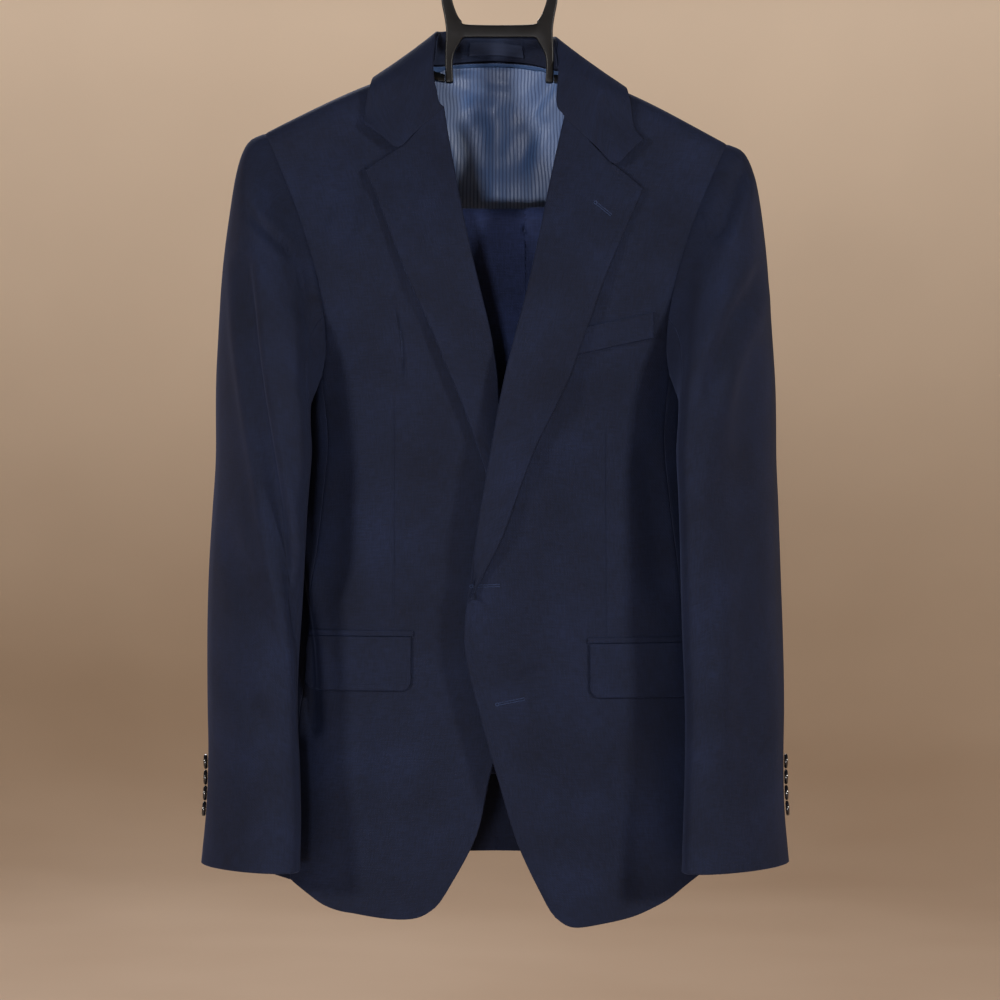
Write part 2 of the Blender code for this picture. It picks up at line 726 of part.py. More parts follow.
def waistband_grid():
    _, top_z, middle, half = TROUSER_RUN[-1]
    base, depth = BAR_RADIUS + LAYER_GAP, 2 * TUBE_DEPTH + LAYER_GAP
    grid = []
    for z in (top_z - LAYER_GAP, top_z - LAYER_GAP - WAISTBAND_HEIGHT):
        section = pressed_section(base, depth, middle, half, 1, half - 0.004)
        grid.append([run_point("back", z, x, height) for x, height in section])
    return np.array(grid)


# Solids

def material(name, colour, roughness, metallic=0.0):
    made = bpy.data.materials.new(name)
    made.use_nodes = True
    shader = made.node_tree.nodes["Principled BSDF"]
    shader.inputs["Base Color"].default_value = (*colour, 1.0)
    shader.inputs["Roughness"].default_value = roughness
    shader.inputs["Metallic"].default_value = metallic
    return made


def solid(name, points, faces, finish):
    """One closed mesh object, with its faces turned outward."""
    mesh = bpy.data.meshes.new(name)
    mesh.from_pydata([tuple(point) for point in points], [], faces)
    work = bmesh.new()
    work.from_mesh(mesh)
    bmesh.ops.recalc_face_normals(work, faces=work.faces)
    if work.calc_volume(signed=True) < 0:
        bmesh.ops.reverse_faces(work, faces=work.faces)
    work.to_mesh(mesh)
    work.free()
    made = bpy.data.objects.new(name, mesh)
    bpy.context.scene.collection.objects.link(made)
    mesh.materials.append(finish)
    mesh.shade_smooth()
    return made


def grid_normals(grid, facing):
    """The unit normal at each point of a grid; facing is 1 or -1 and turns them outward."""
    normals = np.cross(np.gradient(grid, axis=1), np.gradient(grid, axis=0)) * facing
    return normals / np.maximum(np.linalg.norm(normals, axis=2, keepdims=True), 1e-12)


def wall(name, grid, normals, thickness, finish):
    """A wall with its outer face on the grid."""
    rows, columns = grid.shape[:2]
    points = np.concatenate([grid.reshape(-1, 3), (grid - normals * thickness).reshape(-1, 3)])
    count = rows * columns
    faces = []
    for i in range(rows - 1):
        for j in range(columns - 1):
            a = i * columns + j
            quad = (a, a + columns, a + columns + 1, a + 1)
            faces.append(quad)
            faces.append(tuple(k + count for k in reversed(quad)))
    top = list(range(columns))
    right = [i * columns + columns - 1 for i in range(1, rows)]
    bottom = [(rows - 1) * columns + j for j in range(columns - 2, -1, -1)]
    left = [i * columns for i in range(rows - 2, 0, -1)]
    rim = top + right + bottom + left
    for a, b in zip(rim, rim[1:] + rim[:1]):
        faces.append((a, b, b + count, a + count))
    return solid(name, points, faces, finish)


def rings_solid(name, rings, finish, closed=False):
    """A solid through rings of equally many points, with end caps or joined end to end."""
    count = len(rings[0])
    points = [point for ring in rings for point in ring]
    faces = []
    spans = len(rings) if closed else len(rings) - 1
    for i in range(spans):
        for j in range(count):
            a, b = i * count + j, i * count + (j + 1) % count
            step = ((i + 1) % len(rings)) * count
            faces.append((a, b, step + (j + 1) % count, step + j))
    if not closed:
        faces.append(tuple(reversed(range(count))))
        faces.append(tuple(range((len(rings) - 1) * count, len(rings) * count)))
    return solid(name, points, faces, finish)


def border(grid):
    """Each border of a grid: its points' indices, the indices one step inside, in order along it."""
    rows, columns = grid.shape[:2]
    yield [(0, j) for j in range(columns)], [(1, j) for j in range(columns)]
    yield [(rows - 1, j) for j in range(columns)], [(rows - 2, j) for j in range(columns)]
    yield [(i, 0) for i in range(rows)], [(i, 1) for i in range(rows)]
    yield [(i, columns - 1) for i in range(rows)], [(i, columns - 2) for i in range(rows)]


def key_of(point):
    return tuple(np.round(point * 20000).astype(int))


def eased(pieces):
    """Gives points on a shared seam one normal, and draws each piece back from the seam."""
    normals = {name: grid_normals(grid, facing) for name, (grid, facing) in pieces.items()}
    shared, owners = {}, {}
    for name, (grid, _) in pieces.items():
        for index in np.ndindex(grid.shape[:2]):
            key = key_of(grid[index])
            shared[key] = shared.get(key, np.zeros(3)) + normals[name][index]
            owners.setdefault(key, set()).add(name)
    made = {}
    for name, (grid, _) in pieces.items():
        moved = grid.copy()
        for edge, inside in border(grid):
            seam = [len(owners[key_of(grid[index])]) > 1 for index in edge]
            for place, index in enumerate(edge):
                near = [k for k in (place - 1, place + 1) if 0 <= k < len(edge)]
                if not seam[place] or not any(seam[k] for k in near):
                    continue
                before, after = max(place - 1, 0), min(place + 1, len(edge) - 1)
                normal = shared[key_of(grid[index])]
                along = grid[edge[after]] - grid[edge[before]]
                back = np.cross(normal, along)
                back /= max(np.linalg.norm(back), 1e-12)
                inward = grid[inside[place]] - grid[index]
                moved[index] += back * SEAM_EASE * (1 if back @ inward > 0 else -1)
        for index in np.ndindex(grid.shape[:2]):
            total = shared[key_of(grid[index])]
            if len(owners[key_of(grid[index])]) > 1:
                normals[name][index] = total / np.linalg.norm(total)
        made[name] = (moved, normals[name])
    return made


def disc(name, centre, axis, radius, depth, finish, segments=16):
    """A button: a flat disc with a small chamfer, facing along axis."""
    axis = np.array(axis, float) / np.linalg.norm(axis)
    side = np.cross(axis, (0.0, 0.0, 1.0))
    side /= np.linalg.norm(side)
    up = np.cross(side, axis)
    rings = []
    for share, height in ((0.85, 0.0), (1.0, 0.2), (1.0, 0.8), (0.85, 1.0)):
        ring = []
        for i in range(segments):
            turn = 2 * math.pi * i / segments
            spread = (math.cos(turn) * side + math.sin(turn) * up) * radius * share
            ring.append(np.array(centre) + axis * depth * height + spread)
        rings.append(ring)
    return rings_solid(name, rings, finish)


def facing_of(grid, place, outward):
    """1 or -1, whichever turns the grid's normals to the outward direction at one place."""
    return 1 if grid_normals(grid, 1)[place] @ np.array(outward) > 0 else -1


def laid(name, grid, place, outward, thickness, finish):
    """A wall with its outer face on the grid, turned outward."""
    wall(name, grid, grid_normals(grid, facing_of(grid, place, outward)), thickness, finish)


def rod(name, path, radius, finish, sides=8):
    """A round rod in an x-z plane."""
    rings = []
    for i, point in enumerate(path):
        along = path[min(i + 1, len(path) - 1)] - path[max(i - 1, 0)]
        across = np.array((along[2], 0.0, -along[0])) / np.linalg.norm(along)
        turns = [2 * math.pi * k / sides for k in range(sides)]
        depth = np.array((0.0, radius, 0.0))
        rings.append([point + across * radius * math.cos(a) + depth * math.sin(a) for a in turns])
    rings_solid(name, rings, finish)


# The jacket

def jacket_shell(cloth):
    """Fronts, flanks, backs and sleeves, which share their seams."""
    pieces = {}
    for side, sign in SIDES.items():
        pieces[f"front_{side}"] = (placed(side, front_grid(side)), -sign)
        pieces[f"side_panel_{side}"] = (placed(side, side_grid(side)), -sign)
        pieces[f"back_{side}"] = (placed(side, back_grid(side)), sign)
        pieces[f"sleeve_top_{side}"] = (placed(side, sleeve_grid(side, TOP_SLEEVE_TURNS)), sign)
        pieces[f"sleeve_under_{side}"] = (placed(side, sleeve_grid(side, UNDER_SLEEVE_TURNS)), sign)
    for name, (grid, normals) in eased(pieces).items():
        wall(name, grid, normals, CLOTH, cloth)


def revers(cloth):
    """Lapels and collar, which meet at the gorge seam, and the stand that carries the collar."""
    pieces = {f"lapel_{side}": (placed(side, lapel_grid(side)), -sign) for side, sign in SIDES.items()}
    fall = collar_grid()
    pieces["collar_fall"] = (fall, facing_of(fall, (len(COLLAR) + 1, 3), (0, 1, 0)))
    for name, (grid, normals) in eased(pieces).items():
        wall(name, grid, normals, LEAF, cloth)
    stand = stand_grid()
    laid("collar_stand", stand, (len(COLLAR) - 1, 1), (0, 1, 0), STAND_WALL, cloth)
    return stand


def lining_half(side):
    """Half of the back lining: its top follows the neck seam, then falls away under the shoulder."""
    last_neck = LINING_TOP[3]
    corner_z = LINING_EDGE[0][0]
    top = []
    for out in LINING_TOP:
        fall = smooth((out - last_neck) / (LINING_TOP[-1] - last_neck))
        start = neck_seam(min(out, last_neck), side) - LINING_NECK_DROP
        top.append(np.array((out, lerp(start, corner_z, fall))))
    hem_z = LINING_EDGE[-1][0]
    shares = [i / LINING_ROWS for i in range(LINING_ROWS + 1)]
    inner = [np.array((0.0, lerp(top[0][1], hem_z, share))) for share in shares]
    heights = [lerp(corner_z, hem_z, share) for share in shares]
    outer = [np.array((lookup(LINING_EDGE, z, 1), z)) for z in heights]
    bottom = [lerp(inner[-1], outer[-1], out / LINING_TOP[-1]) for out in LINING_TOP]
    flat = patch(top, bottom, inner, outer)
    depth = -(CLOTH + LINING_GAP)
    return placed(side, [[off_panel(back_point, side, *point, depth) for point in row] for row in flat])


def lining(finish):
    """The back lining, in one piece inside both back panels, from the neck seam to above the hem."""
    right, left = lining_half("right"), lining_half("left")
    grid = np.concatenate([right[:, :0:-1], left], axis=1)
    laid("back_lining", grid, (4, len(LINING_TOP) - 1), (0, 1, 0), LINING, finish)


def neck_label(stand, finish):
    """A blank woven label on the inside of the collar stand."""
    middle = len(COLLAR) - 1
    near = [lerp(stand[middle], stand[middle + k], LABEL_REACH) for k in (-1, 1)]
    columns = [near[0], stand[middle], near[1]]
    grid = np.array([[lerp(column[0], column[-1], share) for column in columns] for share in LABEL_HEIGHTS])
    grid[..., 1] -= STAND_WALL + LABEL_GAP
    laid("neck_label", grid, (0, 1), (0, 1, 0), LABEL_WALL, finish)


def pockets(cloth):
    for side in SIDES:
        start, end, top_z = FLAP[side]
        grid = placed(side, flap_grid(side))
        laid(f"pocket_flap_{side}", grid, (1, 1), (0, -1, 0), FLAP_WALL, cloth)
        low_z = top_z + JETTING_GAP
        reach = (start - JETTING_LONGER, end, low_z, low_z + JETTING_HEIGHT)
        jet = strip_grid(side, *reach, JETTING_FACE, FLAP_COLUMNS)
        laid(f"pocket_jetting_{side}", placed(side, jet), (1, 1), (0, -1, 0), LINING, cloth)
    start, end, low_z, high_z, slope = WELT
    welt = placed("left", strip_grid("left", start, end, low_z, high_z, FLAP_FACE, WELT_COLUMNS, slope))
    laid("chest_welt", welt, (1, 1), (0, -1, 0), FLAP_WALL, cloth)


def front_buttons(finish):
    for name, out, z in FRONT_BUTTONS:
        seat = placed("right", off_panel(front_point, "right", out, z, BUTTON_GAP))
        disc(name, seat, (0, -1, 0), BUTTON_RADIUS, BUTTON_DEPTH, finish)


def cuff_buttons(finish):
    for side, sign in SIDES.items():
        for k in range(4):
            z = CUFF_BUTTON_TOP_Z - k * CUFF_BUTTON_PITCH
            seat = placed(side, sleeve_ring(side, CUFF_BUTTON_TURN, z))
            ahead = placed(side, sleeve_ring(side, CUFF_BUTTON_TURN + 2, z)) - seat
            below = placed(side, sleeve_ring(side, CUFF_BUTTON_TURN, z - 0.002)) - seat
            axis = np.cross(ahead, below) * sign
            axis /= np.linalg.norm(axis)
            seat += axis * CUFF_BUTTON_GAP
            disc(f"cuff_button_{side}_{k + 1}", seat, axis, CUFF_BUTTON_RADIUS, CUFF_BUTTON_DEPTH, finish)


# The trousers and the hanger

def trousers(cloth):
    for leg, leg_side in enumerate(("left", "right")):
        for crease, panel in ((-1, "front"), (1, "back")):
            grid = leg_grid(leg, crease)
            laid(f"trouser_{leg_side}_{panel}", grid, (10, 1), (0, 1, 0), TROUSER_CLOTH, cloth)
    band = waistband_grid()
    laid("waistband", band, (0, 1), (0, 1, 0), BAND_WALL, cloth)


def neck_frame(plastic):
    """A flat moulded plate: an arch, its two sides, a crossbar and two spread legs, round an opening."""
    work = bmesh.new()
    edges = []
    for table in (FRAME_OUTER, FRAME_HOLE):
        right = [(out, z) for out, z in table]
        left = [(-out, z) for out, z in reversed(table) if out > 0]
        loop = [work.verts.new((x, -FRAME_HALF_DEPTH, z)) for x, z in right + left]
        edges += [work.edges.new((a, b)) for a, b in zip(loop, loop[1:] + loop[:1])]
    bmesh.ops.triangle_fill(work, use_beauty=True, edges=edges)
    grown = bmesh.ops.extrude_face_region(work, geom=work.faces[:])["geom"]
    moved = [item for item in grown if isinstance(item, bmesh.types.BMVert)]
    bmesh.ops.translate(work, verts=moved, vec=(0, 2 * FRAME_HALF_DEPTH, 0))
    points = [tuple(vertex.co) for vertex in work.verts]
    work.verts.index_update()
    faces = [tuple(vertex.index for vertex in face.verts) for face in work.faces]
    work.free()
    solid("hanger_neck", points, faces, plastic)


def hook(plastic):
    radius = HOOK_RADIUS + HOOK_ROD
    path = [np.array((x, 0.0, z)) for x, z in HOOK_STEM]
    for degrees in range(*HOOK_TURN):
        angle = math.radians(degrees)
        path.append(np.array((radius * math.cos(angle), 0.0, radius * math.sin(angle) - HOOK_RADIUS)))
    rod("hanger_hook", path, HOOK_ROD, plastic)


def arm_top(side, out, drop):
    return ridge_z(side, out - SIDES[side] * JACKET_X) - drop


def shoulder_arms(plastic):
    for side, sign in SIDES.items():
        rings = []
        for out, half_depth, height, drop in SHOULDER_ARM:
            top_z = SHOULDER_ARM_START_Z if drop is None else arm_top(side, out, drop)
            y = 0.0 if drop is None else JACKET_Y
            ring = []
            for degrees in range(-90, 91, 30):
                angle = math.radians(degrees)
                z = top_z - height * (1 - math.cos(angle))
                ring.append((sign * out, y + half_depth * math.sin(angle), z))
            rings.append(ring)
        rings_solid(f"hanger_shoulder_{side}", rings, plastic)


def trouser_bar(plastic):
    """The bar and the two drops that carry it from the shoulders, bent from one length."""
    path = []
    _, _, height, drop = SHOULDER_ARM[BAR_ARM]
    for side, sign in SIDES.items():
        top_z = arm_top(side, BAR_HALF + BAR_RADIUS, drop) - height - BAR_GAP
        bend = [np.array((sign * BAR_HALF, JACKET_Y, top_z))]
        for degrees in range(0, 91, 30):
            angle = math.radians(degrees)
            x = BAR_HALF - BAR_BEND * (1 - math.cos(angle))
            bend.append(np.array((sign * x, JACKET_Y, BAR_Z + BAR_BEND * (1 - math.sin(angle)))))
        path += bend if side == "left" else bend[::-1]
    rod("trouser_bar", path, BAR_RADIUS, plastic, 10)


def main():
    for old in list(bpy.data.objects):
        bpy.data.objects.remove(old, do_unlink=True)
    cloth = material("navy worsted", (0.016, 0.022, 0.045), 0.85)
    satin = material("striped satin lining", (0.045, 0.075, 0.16), 0.35)
    label = material("woven label", (0.02, 0.022, 0.03), 0.6)
    horn = material("dark horn button", (0.01, 0.01, 0.012), 0.3)
    plastic = material("black moulded plastic", (0.008, 0.008, 0.009), 0.35)
    jacket_shell(cloth)
    stand = revers(cloth)
    lining(satin)
    neck_label(stand, label)
    pockets(cloth)
    front_buttons(horn)
    cuff_buttons(horn)
    trousers(cloth)
    neck_frame(plastic)
    hook(plastic)
    shoulder_arms(plastic)
    trouser_bar(plastic)


main()
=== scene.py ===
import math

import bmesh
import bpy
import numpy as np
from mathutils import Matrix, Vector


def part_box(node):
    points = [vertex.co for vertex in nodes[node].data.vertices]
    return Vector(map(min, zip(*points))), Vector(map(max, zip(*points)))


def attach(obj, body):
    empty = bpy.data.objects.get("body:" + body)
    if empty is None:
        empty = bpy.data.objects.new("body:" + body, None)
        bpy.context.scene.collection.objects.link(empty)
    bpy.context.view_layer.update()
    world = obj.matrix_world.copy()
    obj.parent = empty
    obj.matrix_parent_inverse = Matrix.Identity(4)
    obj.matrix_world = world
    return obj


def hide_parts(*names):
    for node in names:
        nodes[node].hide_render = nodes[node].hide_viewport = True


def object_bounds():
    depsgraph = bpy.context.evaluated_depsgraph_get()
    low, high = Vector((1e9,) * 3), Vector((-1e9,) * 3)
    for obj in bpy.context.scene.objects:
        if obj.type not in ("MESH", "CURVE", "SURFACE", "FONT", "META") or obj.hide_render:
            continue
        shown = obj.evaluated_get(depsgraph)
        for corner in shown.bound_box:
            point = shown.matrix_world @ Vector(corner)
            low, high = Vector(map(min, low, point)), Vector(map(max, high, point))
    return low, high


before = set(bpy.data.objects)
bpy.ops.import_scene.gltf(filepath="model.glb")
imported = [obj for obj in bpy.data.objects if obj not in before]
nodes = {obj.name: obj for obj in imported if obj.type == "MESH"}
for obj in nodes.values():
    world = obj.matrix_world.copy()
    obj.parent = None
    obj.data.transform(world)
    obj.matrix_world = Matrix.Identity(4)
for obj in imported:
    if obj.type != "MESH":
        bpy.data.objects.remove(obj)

# %% [markdown]
# # A two-piece suit on its hanger
# The object is a tailored jacket hung open on a moulded coat hanger, with its trousers folded over
# the hanger's bar. The frame that was just loaded holds one plain closed wall for each cut piece of
# cloth. This file turns each wall into finished cloth: it finds the grid of points that the wall was
# made from, runs a smooth surface through them, presses the seams, creases and darts into it, and
# gives it a woven finish. Metres throughout, +X is the wearer's left and +Y the wearer's back.

cad_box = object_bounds()
SIDES = {"left": 1, "right": -1}
print("frame box", [tuple(round(c, 4) for c in corner) for corner in cad_box])

# %% [markdown]
# ## Colours and nodes
# Colours are written as the hex codes that a colour picker shows, which are sRGB. A shader wants
# linear light, so one function converts them. Two more set a node's inputs and add a node with its
# settings and links, which keeps the material cells short enough to read.

# %% Colour and node helpers
def colour(code):
    """An sRGB hex code as linear red, green, blue and alpha."""
    channels = [int(code[i : i + 2], 16) / 255 for i in (1, 3, 5)]
    linear = [c / 12.92 if c <= 0.04045 else ((c + 0.055) / 1.055) ** 2.4 for c in channels]
    return (*linear, 1.0)


def wire(tree, node, inputs):
    """Sets inputs to values, or links them to a socket or to another node's first output."""
    for key, value in inputs.items():
        if isinstance(value, bpy.types.Node):
            value = value.outputs[0]
        if isinstance(value, bpy.types.NodeSocket):
            tree.links.new(value, node.inputs[key])
        else:
            node.inputs[key].default_value = value


def add(tree, kind, inputs=None, stops=(), **settings):
    """Adds a node. Stops are the places and colours of a colour ramp."""
    node = tree.nodes.new(kind)
    for name, value in settings.items():
        setattr(node, name, value)
    for place, code in stops[2:]:
        node.color_ramp.elements.new(place).color = colour(code)
    for element, (place, code) in zip(node.color_ramp.elements if stops else (), sorted(stops)):
        element.position, element.color = place, colour(code)
    wire(tree, node, inputs or {})
    return node


def new_material(name, **values):
    """A material with its tree and its shader, whose sockets are set by name."""
    made = bpy.data.materials.new(name)
    made.use_nodes = True
    tree = made.node_tree
    shader = tree.nodes["Principled BSDF"]
    wire(tree, shader, {key.replace("_", " "): value for key, value in values.items()})
    return made, tree, shader


print("linear navy", [round(c, 4) for c in colour("#0D1428")])

# %% [markdown]
# ## Worsted cloth
# A business suit is cut from worsted: long combed wool, spun fine and woven as a 2/2 twill with
# about 30 threads to the centimetre. At arm's length the eye reads it as one deep navy with a dry,
# slightly soft surface, so what matters is the tone, the sheen at grazing angles and a faint grain.
# The pattern reads each piece's own UV map, which is laid out in metres along the cloth, so that it
# follows the grain of every cut piece. The twill is drawn at 1.3 mm, about four times too coarse,
# because the real 0.33 mm thread would vanish.

# %% Worsted twill
THREAD = 0.0013  # metres; the real thread is a quarter of this
RIB = 0.32 / THREAD  # twill lines to the metre, in the wave texture's measure


def worsted(name, dark, base, light, roughness=0.82):
    """Combed wool twill: tone that wanders slowly, thread flecks, and a fine diagonal rib."""
    made, tree, shader = new_material(name, Roughness=roughness, IOR=1.45, Specular_IOR_Level=0.2,
                                      Sheen_Weight=0.10, Sheen_Roughness=0.45, Sheen_Tint=colour("#7C90CC"))
    cloth = add(tree, "ShaderNodeUVMap", uv_map="cloth")
    drift = add(tree, "ShaderNodeTexNoise", {"Vector": cloth, "Scale": 16.0, "Detail": 3.0})
    tone = add(tree, "ShaderNodeValToRGB", {"Fac": drift}, ((0.30, dark), (0.52, base), (0.74, light)))
    flecks = add(tree, "ShaderNodeMath", operation="ADD")
    for i, scale in enumerate(((1 / THREAD, 0.12 / THREAD, 1), (0.12 / THREAD, 1 / THREAD, 1))):
        drawn = add(tree, "ShaderNodeMapping", {"Vector": cloth, "Scale": scale})
        yarn = add(tree, "ShaderNodeTexNoise", {"Vector": drawn, "Scale": 1.0, "Detail": 1.0})
        wire(tree, flecks, {i: yarn})
    shade = add(tree, "ShaderNodeMapRange",
                {"Value": flecks, "From Min": 0.75, "From Max": 1.25, "To Min": 0.80, "To Max": 1.22})
    flecked = add(tree, "ShaderNodeMixRGB", {"Fac": 1.0, "Color1": tone, "Color2": shade},
                  blend_type="MULTIPLY")
    twill = add(tree, "ShaderNodeTexWave",
                {"Vector": cloth, "Scale": RIB, "Distortion": 0.6, "Detail": 1.0, "Detail Scale": 2.0},
                wave_type="BANDS", bands_direction="DIAGONAL").outputs["Fac"]
    height = add(tree, "ShaderNodeMath", {0: twill, 1: 0.5, 2: flecks}, operation="MULTIPLY_ADD")
    bump = add(tree, "ShaderNodeBump", {"Height": height, "Strength": 0.35, "Distance": 0.00025})
    wire(tree, shader, {"Base Color": flecked, "Normal": bump})
    return made


NAVY = worsted("worsted wool, navy 2/2 twill", "#0A1022", "#0D1428", "#10182F")
# The trousers are cut from the jacket's navy, but their colour is painted lighter. This is painted light,
# standing in for the light that hardly reaches them between the lapels.
TROUSER_NAVY = worsted("worsted wool, navy, lightened as painted light", "#1A2340", "#1F294A", "#253056")
COLLAR_FELT = worsted("worsted wool, collar melton", "#131829", "#171E31", "#1C253A", roughness=0.9)
print("cloth materials", NAVY.name, "|", TROUSER_NAVY.name, "|", COLLAR_FELT.name)

# %% [markdown]
# ## Striped satin lining
# The back is lined in a viscose satin with a self stripe: bands of satin weave and of plain weave
# next to each other catch the light differently. A satin float is smooth along the warp, so the
# highlight is broad and bright, and the stripe shows as a change of gloss as much as of colour.
# The stripe repeats every 3.4 mm.

# %% Satin with a self stripe
STRIPE = 0.0034


def satin():
    """Bands of bright and of flat weave, with the unevenness of a thin loose cloth."""
    made, tree, shader = new_material("viscose satin, self stripe", IOR=1.5, Sheen_Weight=0.2,
                                      Sheen_Tint=colour("#A8C4EC"))
    cloth = add(tree, "ShaderNodeUVMap", uv_map="cloth")
    across = add(tree, "ShaderNodeSeparateXYZ", {"Vector": cloth})
    turns = add(tree, "ShaderNodeMath", {0: across, 1: 2 * math.pi / STRIPE}, operation="MULTIPLY")
    wave = add(tree, "ShaderNodeMath", {0: turns}, operation="SINE")
    band = add(tree, "ShaderNodeMapRange", {"Value": wave, "From Min": 0.15, "From Max": 0.75})
    stripe = add(tree, "ShaderNodeValToRGB", {"Fac": band}, ((0.0, "#3B5784"), (1.0, "#294069")))
    cloudy = add(tree, "ShaderNodeTexNoise", {"Vector": cloth, "Scale": 22.0, "Detail": 2.0})
    shade = add(tree, "ShaderNodeMapRange", {"Value": cloudy, "To Min": 0.72, "To Max": 1.25})
    mixed = add(tree, "ShaderNodeMixRGB", {"Fac": 1.0, "Color1": stripe, "Color2": shade},
                blend_type="MULTIPLY")
    gloss = add(tree, "ShaderNodeMapRange", {"Value": band, "To Min": 0.46, "To Max": 0.62})
    ripple = add(tree, "ShaderNodeTexNoise", {"Vector": cloth, "Scale": 60.0, "Detail": 2.0})
    height = add(tree, "ShaderNodeMath", {0: band, 1: 0.35, 2: ripple}, operation="MULTIPLY_ADD")
    bump = add(tree, "ShaderNodeBump", {"Height": height, "Strength": 0.4, "Distance": 0.0006})
    wire(tree, shader, {"Base Color": mixed, "Roughness": gloss, "Normal": bump})
    return made


SATIN = satin()
print("lining", SATIN.name)

# %% [markdown]
# ## Moulded plastic, resin buttons, thread and label tape
# The hanger is injection moulded polystyrene, black right through: the mould's face leaves a satin
# gloss with a faint orange peel. The buttons are cast polyester resin, turned and tumbled until
# they shine, with the cloudy figure of horn. The thread is spun polyester, and the label is a
# damask tape woven from matt and bright yarns.

# %% Hard finishes and trimmings
def moulded_plastic():
    """Black right through, with an even orange peel from the mould."""
    made, tree, shader = new_material("polystyrene, black, moulded", IOR=1.59, Specular_IOR_Level=0.18)
    place = add(tree, "ShaderNodeTexCoord").outputs["Object"]
    wear = add(tree, "ShaderNodeTexNoise", {"Vector": place, "Scale": 45.0, "Detail": 4.0})
    blacks = ((0.3, "#060709"), (0.55, "#090A0D"), (0.8, "#101116"))
    tone = add(tree, "ShaderNodeValToRGB", {"Fac": wear}, blacks)
    rough = add(tree, "ShaderNodeMapRange", {"Value": wear, "To Min": 0.32, "To Max": 0.48})
    peel = add(tree, "ShaderNodeTexNoise", {"Vector": place, "Scale": 700.0, "Detail": 1.0})
    bump = add(tree, "ShaderNodeBump", {"Height": peel, "Strength": 0.15, "Distance": 0.0002})
    wire(tree, shader, {"Base Color": tone, "Roughness": rough, "Normal": bump})
    return made


def horn_resin():
    """Cloudy dark resin under a hard polish."""
    made, tree, shader = new_material("polyester resin, horn figure, polished", Roughness=0.22, IOR=1.56,
                                      Coat_Weight=0.3)
    place = add(tree, "ShaderNodeTexCoord").outputs["Object"]
    figure = add(tree, "ShaderNodeTexNoise",
                 {"Vector": place, "Scale": 180.0, "Detail": 3.0, "Distortion": 1.5})
    horns = ((0.35, "#07080B"), (0.6, "#12141B"), (0.8, "#242838"))
    tone = add(tree, "ShaderNodeValToRGB", {"Fac": figure}, horns)
    wire(tree, shader, {"Base Color": tone})
    return made


def spun_thread(name, dark, light):
    """Twisted yarn: a fine slanting stripe round each stitch."""
    made, tree, shader = new_material(name, Roughness=0.85, IOR=1.5, Specular_IOR_Level=0.15)
    place = add(tree, "ShaderNodeTexCoord").outputs["Object"]
    twist = add(tree, "ShaderNodeTexWave", {"Vector": place, "Scale": 900.0, "Distortion": 1.0},
                bands_direction="DIAGONAL")
    tone = add(tree, "ShaderNodeValToRGB", {"Fac": twist.outputs["Fac"]}, ((0.1, dark), (0.9, light)))
    wire(tree, shader, {"Base Color": tone})
    return made


def label_tape():
    """Fine ribs across the tape, from its bright and its matt yarns."""
    made, tree, shader = new_material("damask label tape", Roughness=0.75, IOR=1.5, Specular_IOR_Level=0.2)
    cloth = add(tree, "ShaderNodeUVMap", uv_map="cloth")
    threads = add(tree, "ShaderNodeTexWave", {"Vector": cloth, "Scale": 260.0, "Distortion": 0.4},
                  bands_direction="Y").outputs["Fac"]
    tone = add(tree, "ShaderNodeValToRGB", {"Fac": threads}, ((0.1, "#161D30"), (0.9, "#222C44")))
    bump = add(tree, "ShaderNodeBump", {"Height": threads, "Strength": 0.3, "Distance": 0.0002})
    wire(tree, shader, {"Base Color": tone, "Normal": bump})
    return made


PLASTIC, HORN, LABEL = moulded_plastic(), horn_resin(), label_tape()
THREAD_NAVY = spun_thread("spun polyester thread, navy", "#0A0F20", "#18213C")
THREAD_PALE = spun_thread("buttonhole twist, slate blue", "#18213A", "#333F5E")
print("trimmings", PLASTIC.name, "|", HORN.name, "|", LABEL.name)

# %% [markdown]
# ## Finding the grid of a cloth wall
# Each wall in the frame was made from a grid of points: rows running down the piece and columns
# running across it. The frame holds it as loose triangles, so the grid has to be found again. A
# copy of the mesh is merged, and the triangles of its thin rim are set aside, which leaves the
# wall's two faces. On a grid, the point diagonally across a cell is the one that both its
# neighbours share, so from a corner the whole grid can be filled in, point by point, and a wrong
# corner soon fails.

# %% Reading walls from the frame
MERGE = 1e-6
THICKEST = 0.0024  # no cloth wall is thicker
NEAR = 2e-5
DOWN, FORE, AFT = (0, 0, -1), (0, -1, 0), (0, 1, 0)  # fore is the wearer's front


def merged(name):
    """A bmesh copy of a frame node, with its loose triangles joined."""
    work = bmesh.new()
    work.from_mesh(nodes[name].data)
    bmesh.ops.remove_doubles(work, verts=work.verts, dist=MERGE)
    work.verts.index_update()
    work.faces.ensure_lookup_table()
    return work


def filled(loop, start, rows, columns, near):
    """The grid with its top row and left column on the border loop, or None if it doesn't fit."""
    size = len(loop)
    grid = [[loop[(start + j) % size] for j in range(columns)]]
    used = set(grid[0])
    for i in range(1, rows):
        row = [loop[(start - i) % size]]
        used.add(row[0])
        for j in range(1, columns):
            shared = (near[grid[-1][j]] & near[row[-1]]) - used
            if len(shared) != 1:
                return None
            row.append(shared.pop())
            used.add(row[-1])
        grid.append(row)
    return grid if len(used) == len(near) else None


def two_faces(work):
    """A wall's two large faces. Every triangle of its rim has an edge as long as the wall is thick."""
    lengths = {edge: round(edge.calc_length(), 5) for edge in work.edges}
    short = [length for length in lengths.values() if length < THICKEST]
    thick = max(set(short), key=short.count)
    group = {face: True for face in work.faces if any(abs(lengths[e] - thick) < NEAR for e in face.edges)}
    sheets = []
    for seed in work.faces:
        if seed in group:
            continue
        group[seed], sheet, waiting = True, [], [seed]
        while waiting:
            face = waiting.pop()
            sheet.append(face)
            for other in {other for edge in face.edges for other in edge.link_faces}:
                if other not in group:
                    group[other] = True
                    waiting.append(other)
        sheets.append(sheet)
    return sorted(sheets, key=len)[-2:]


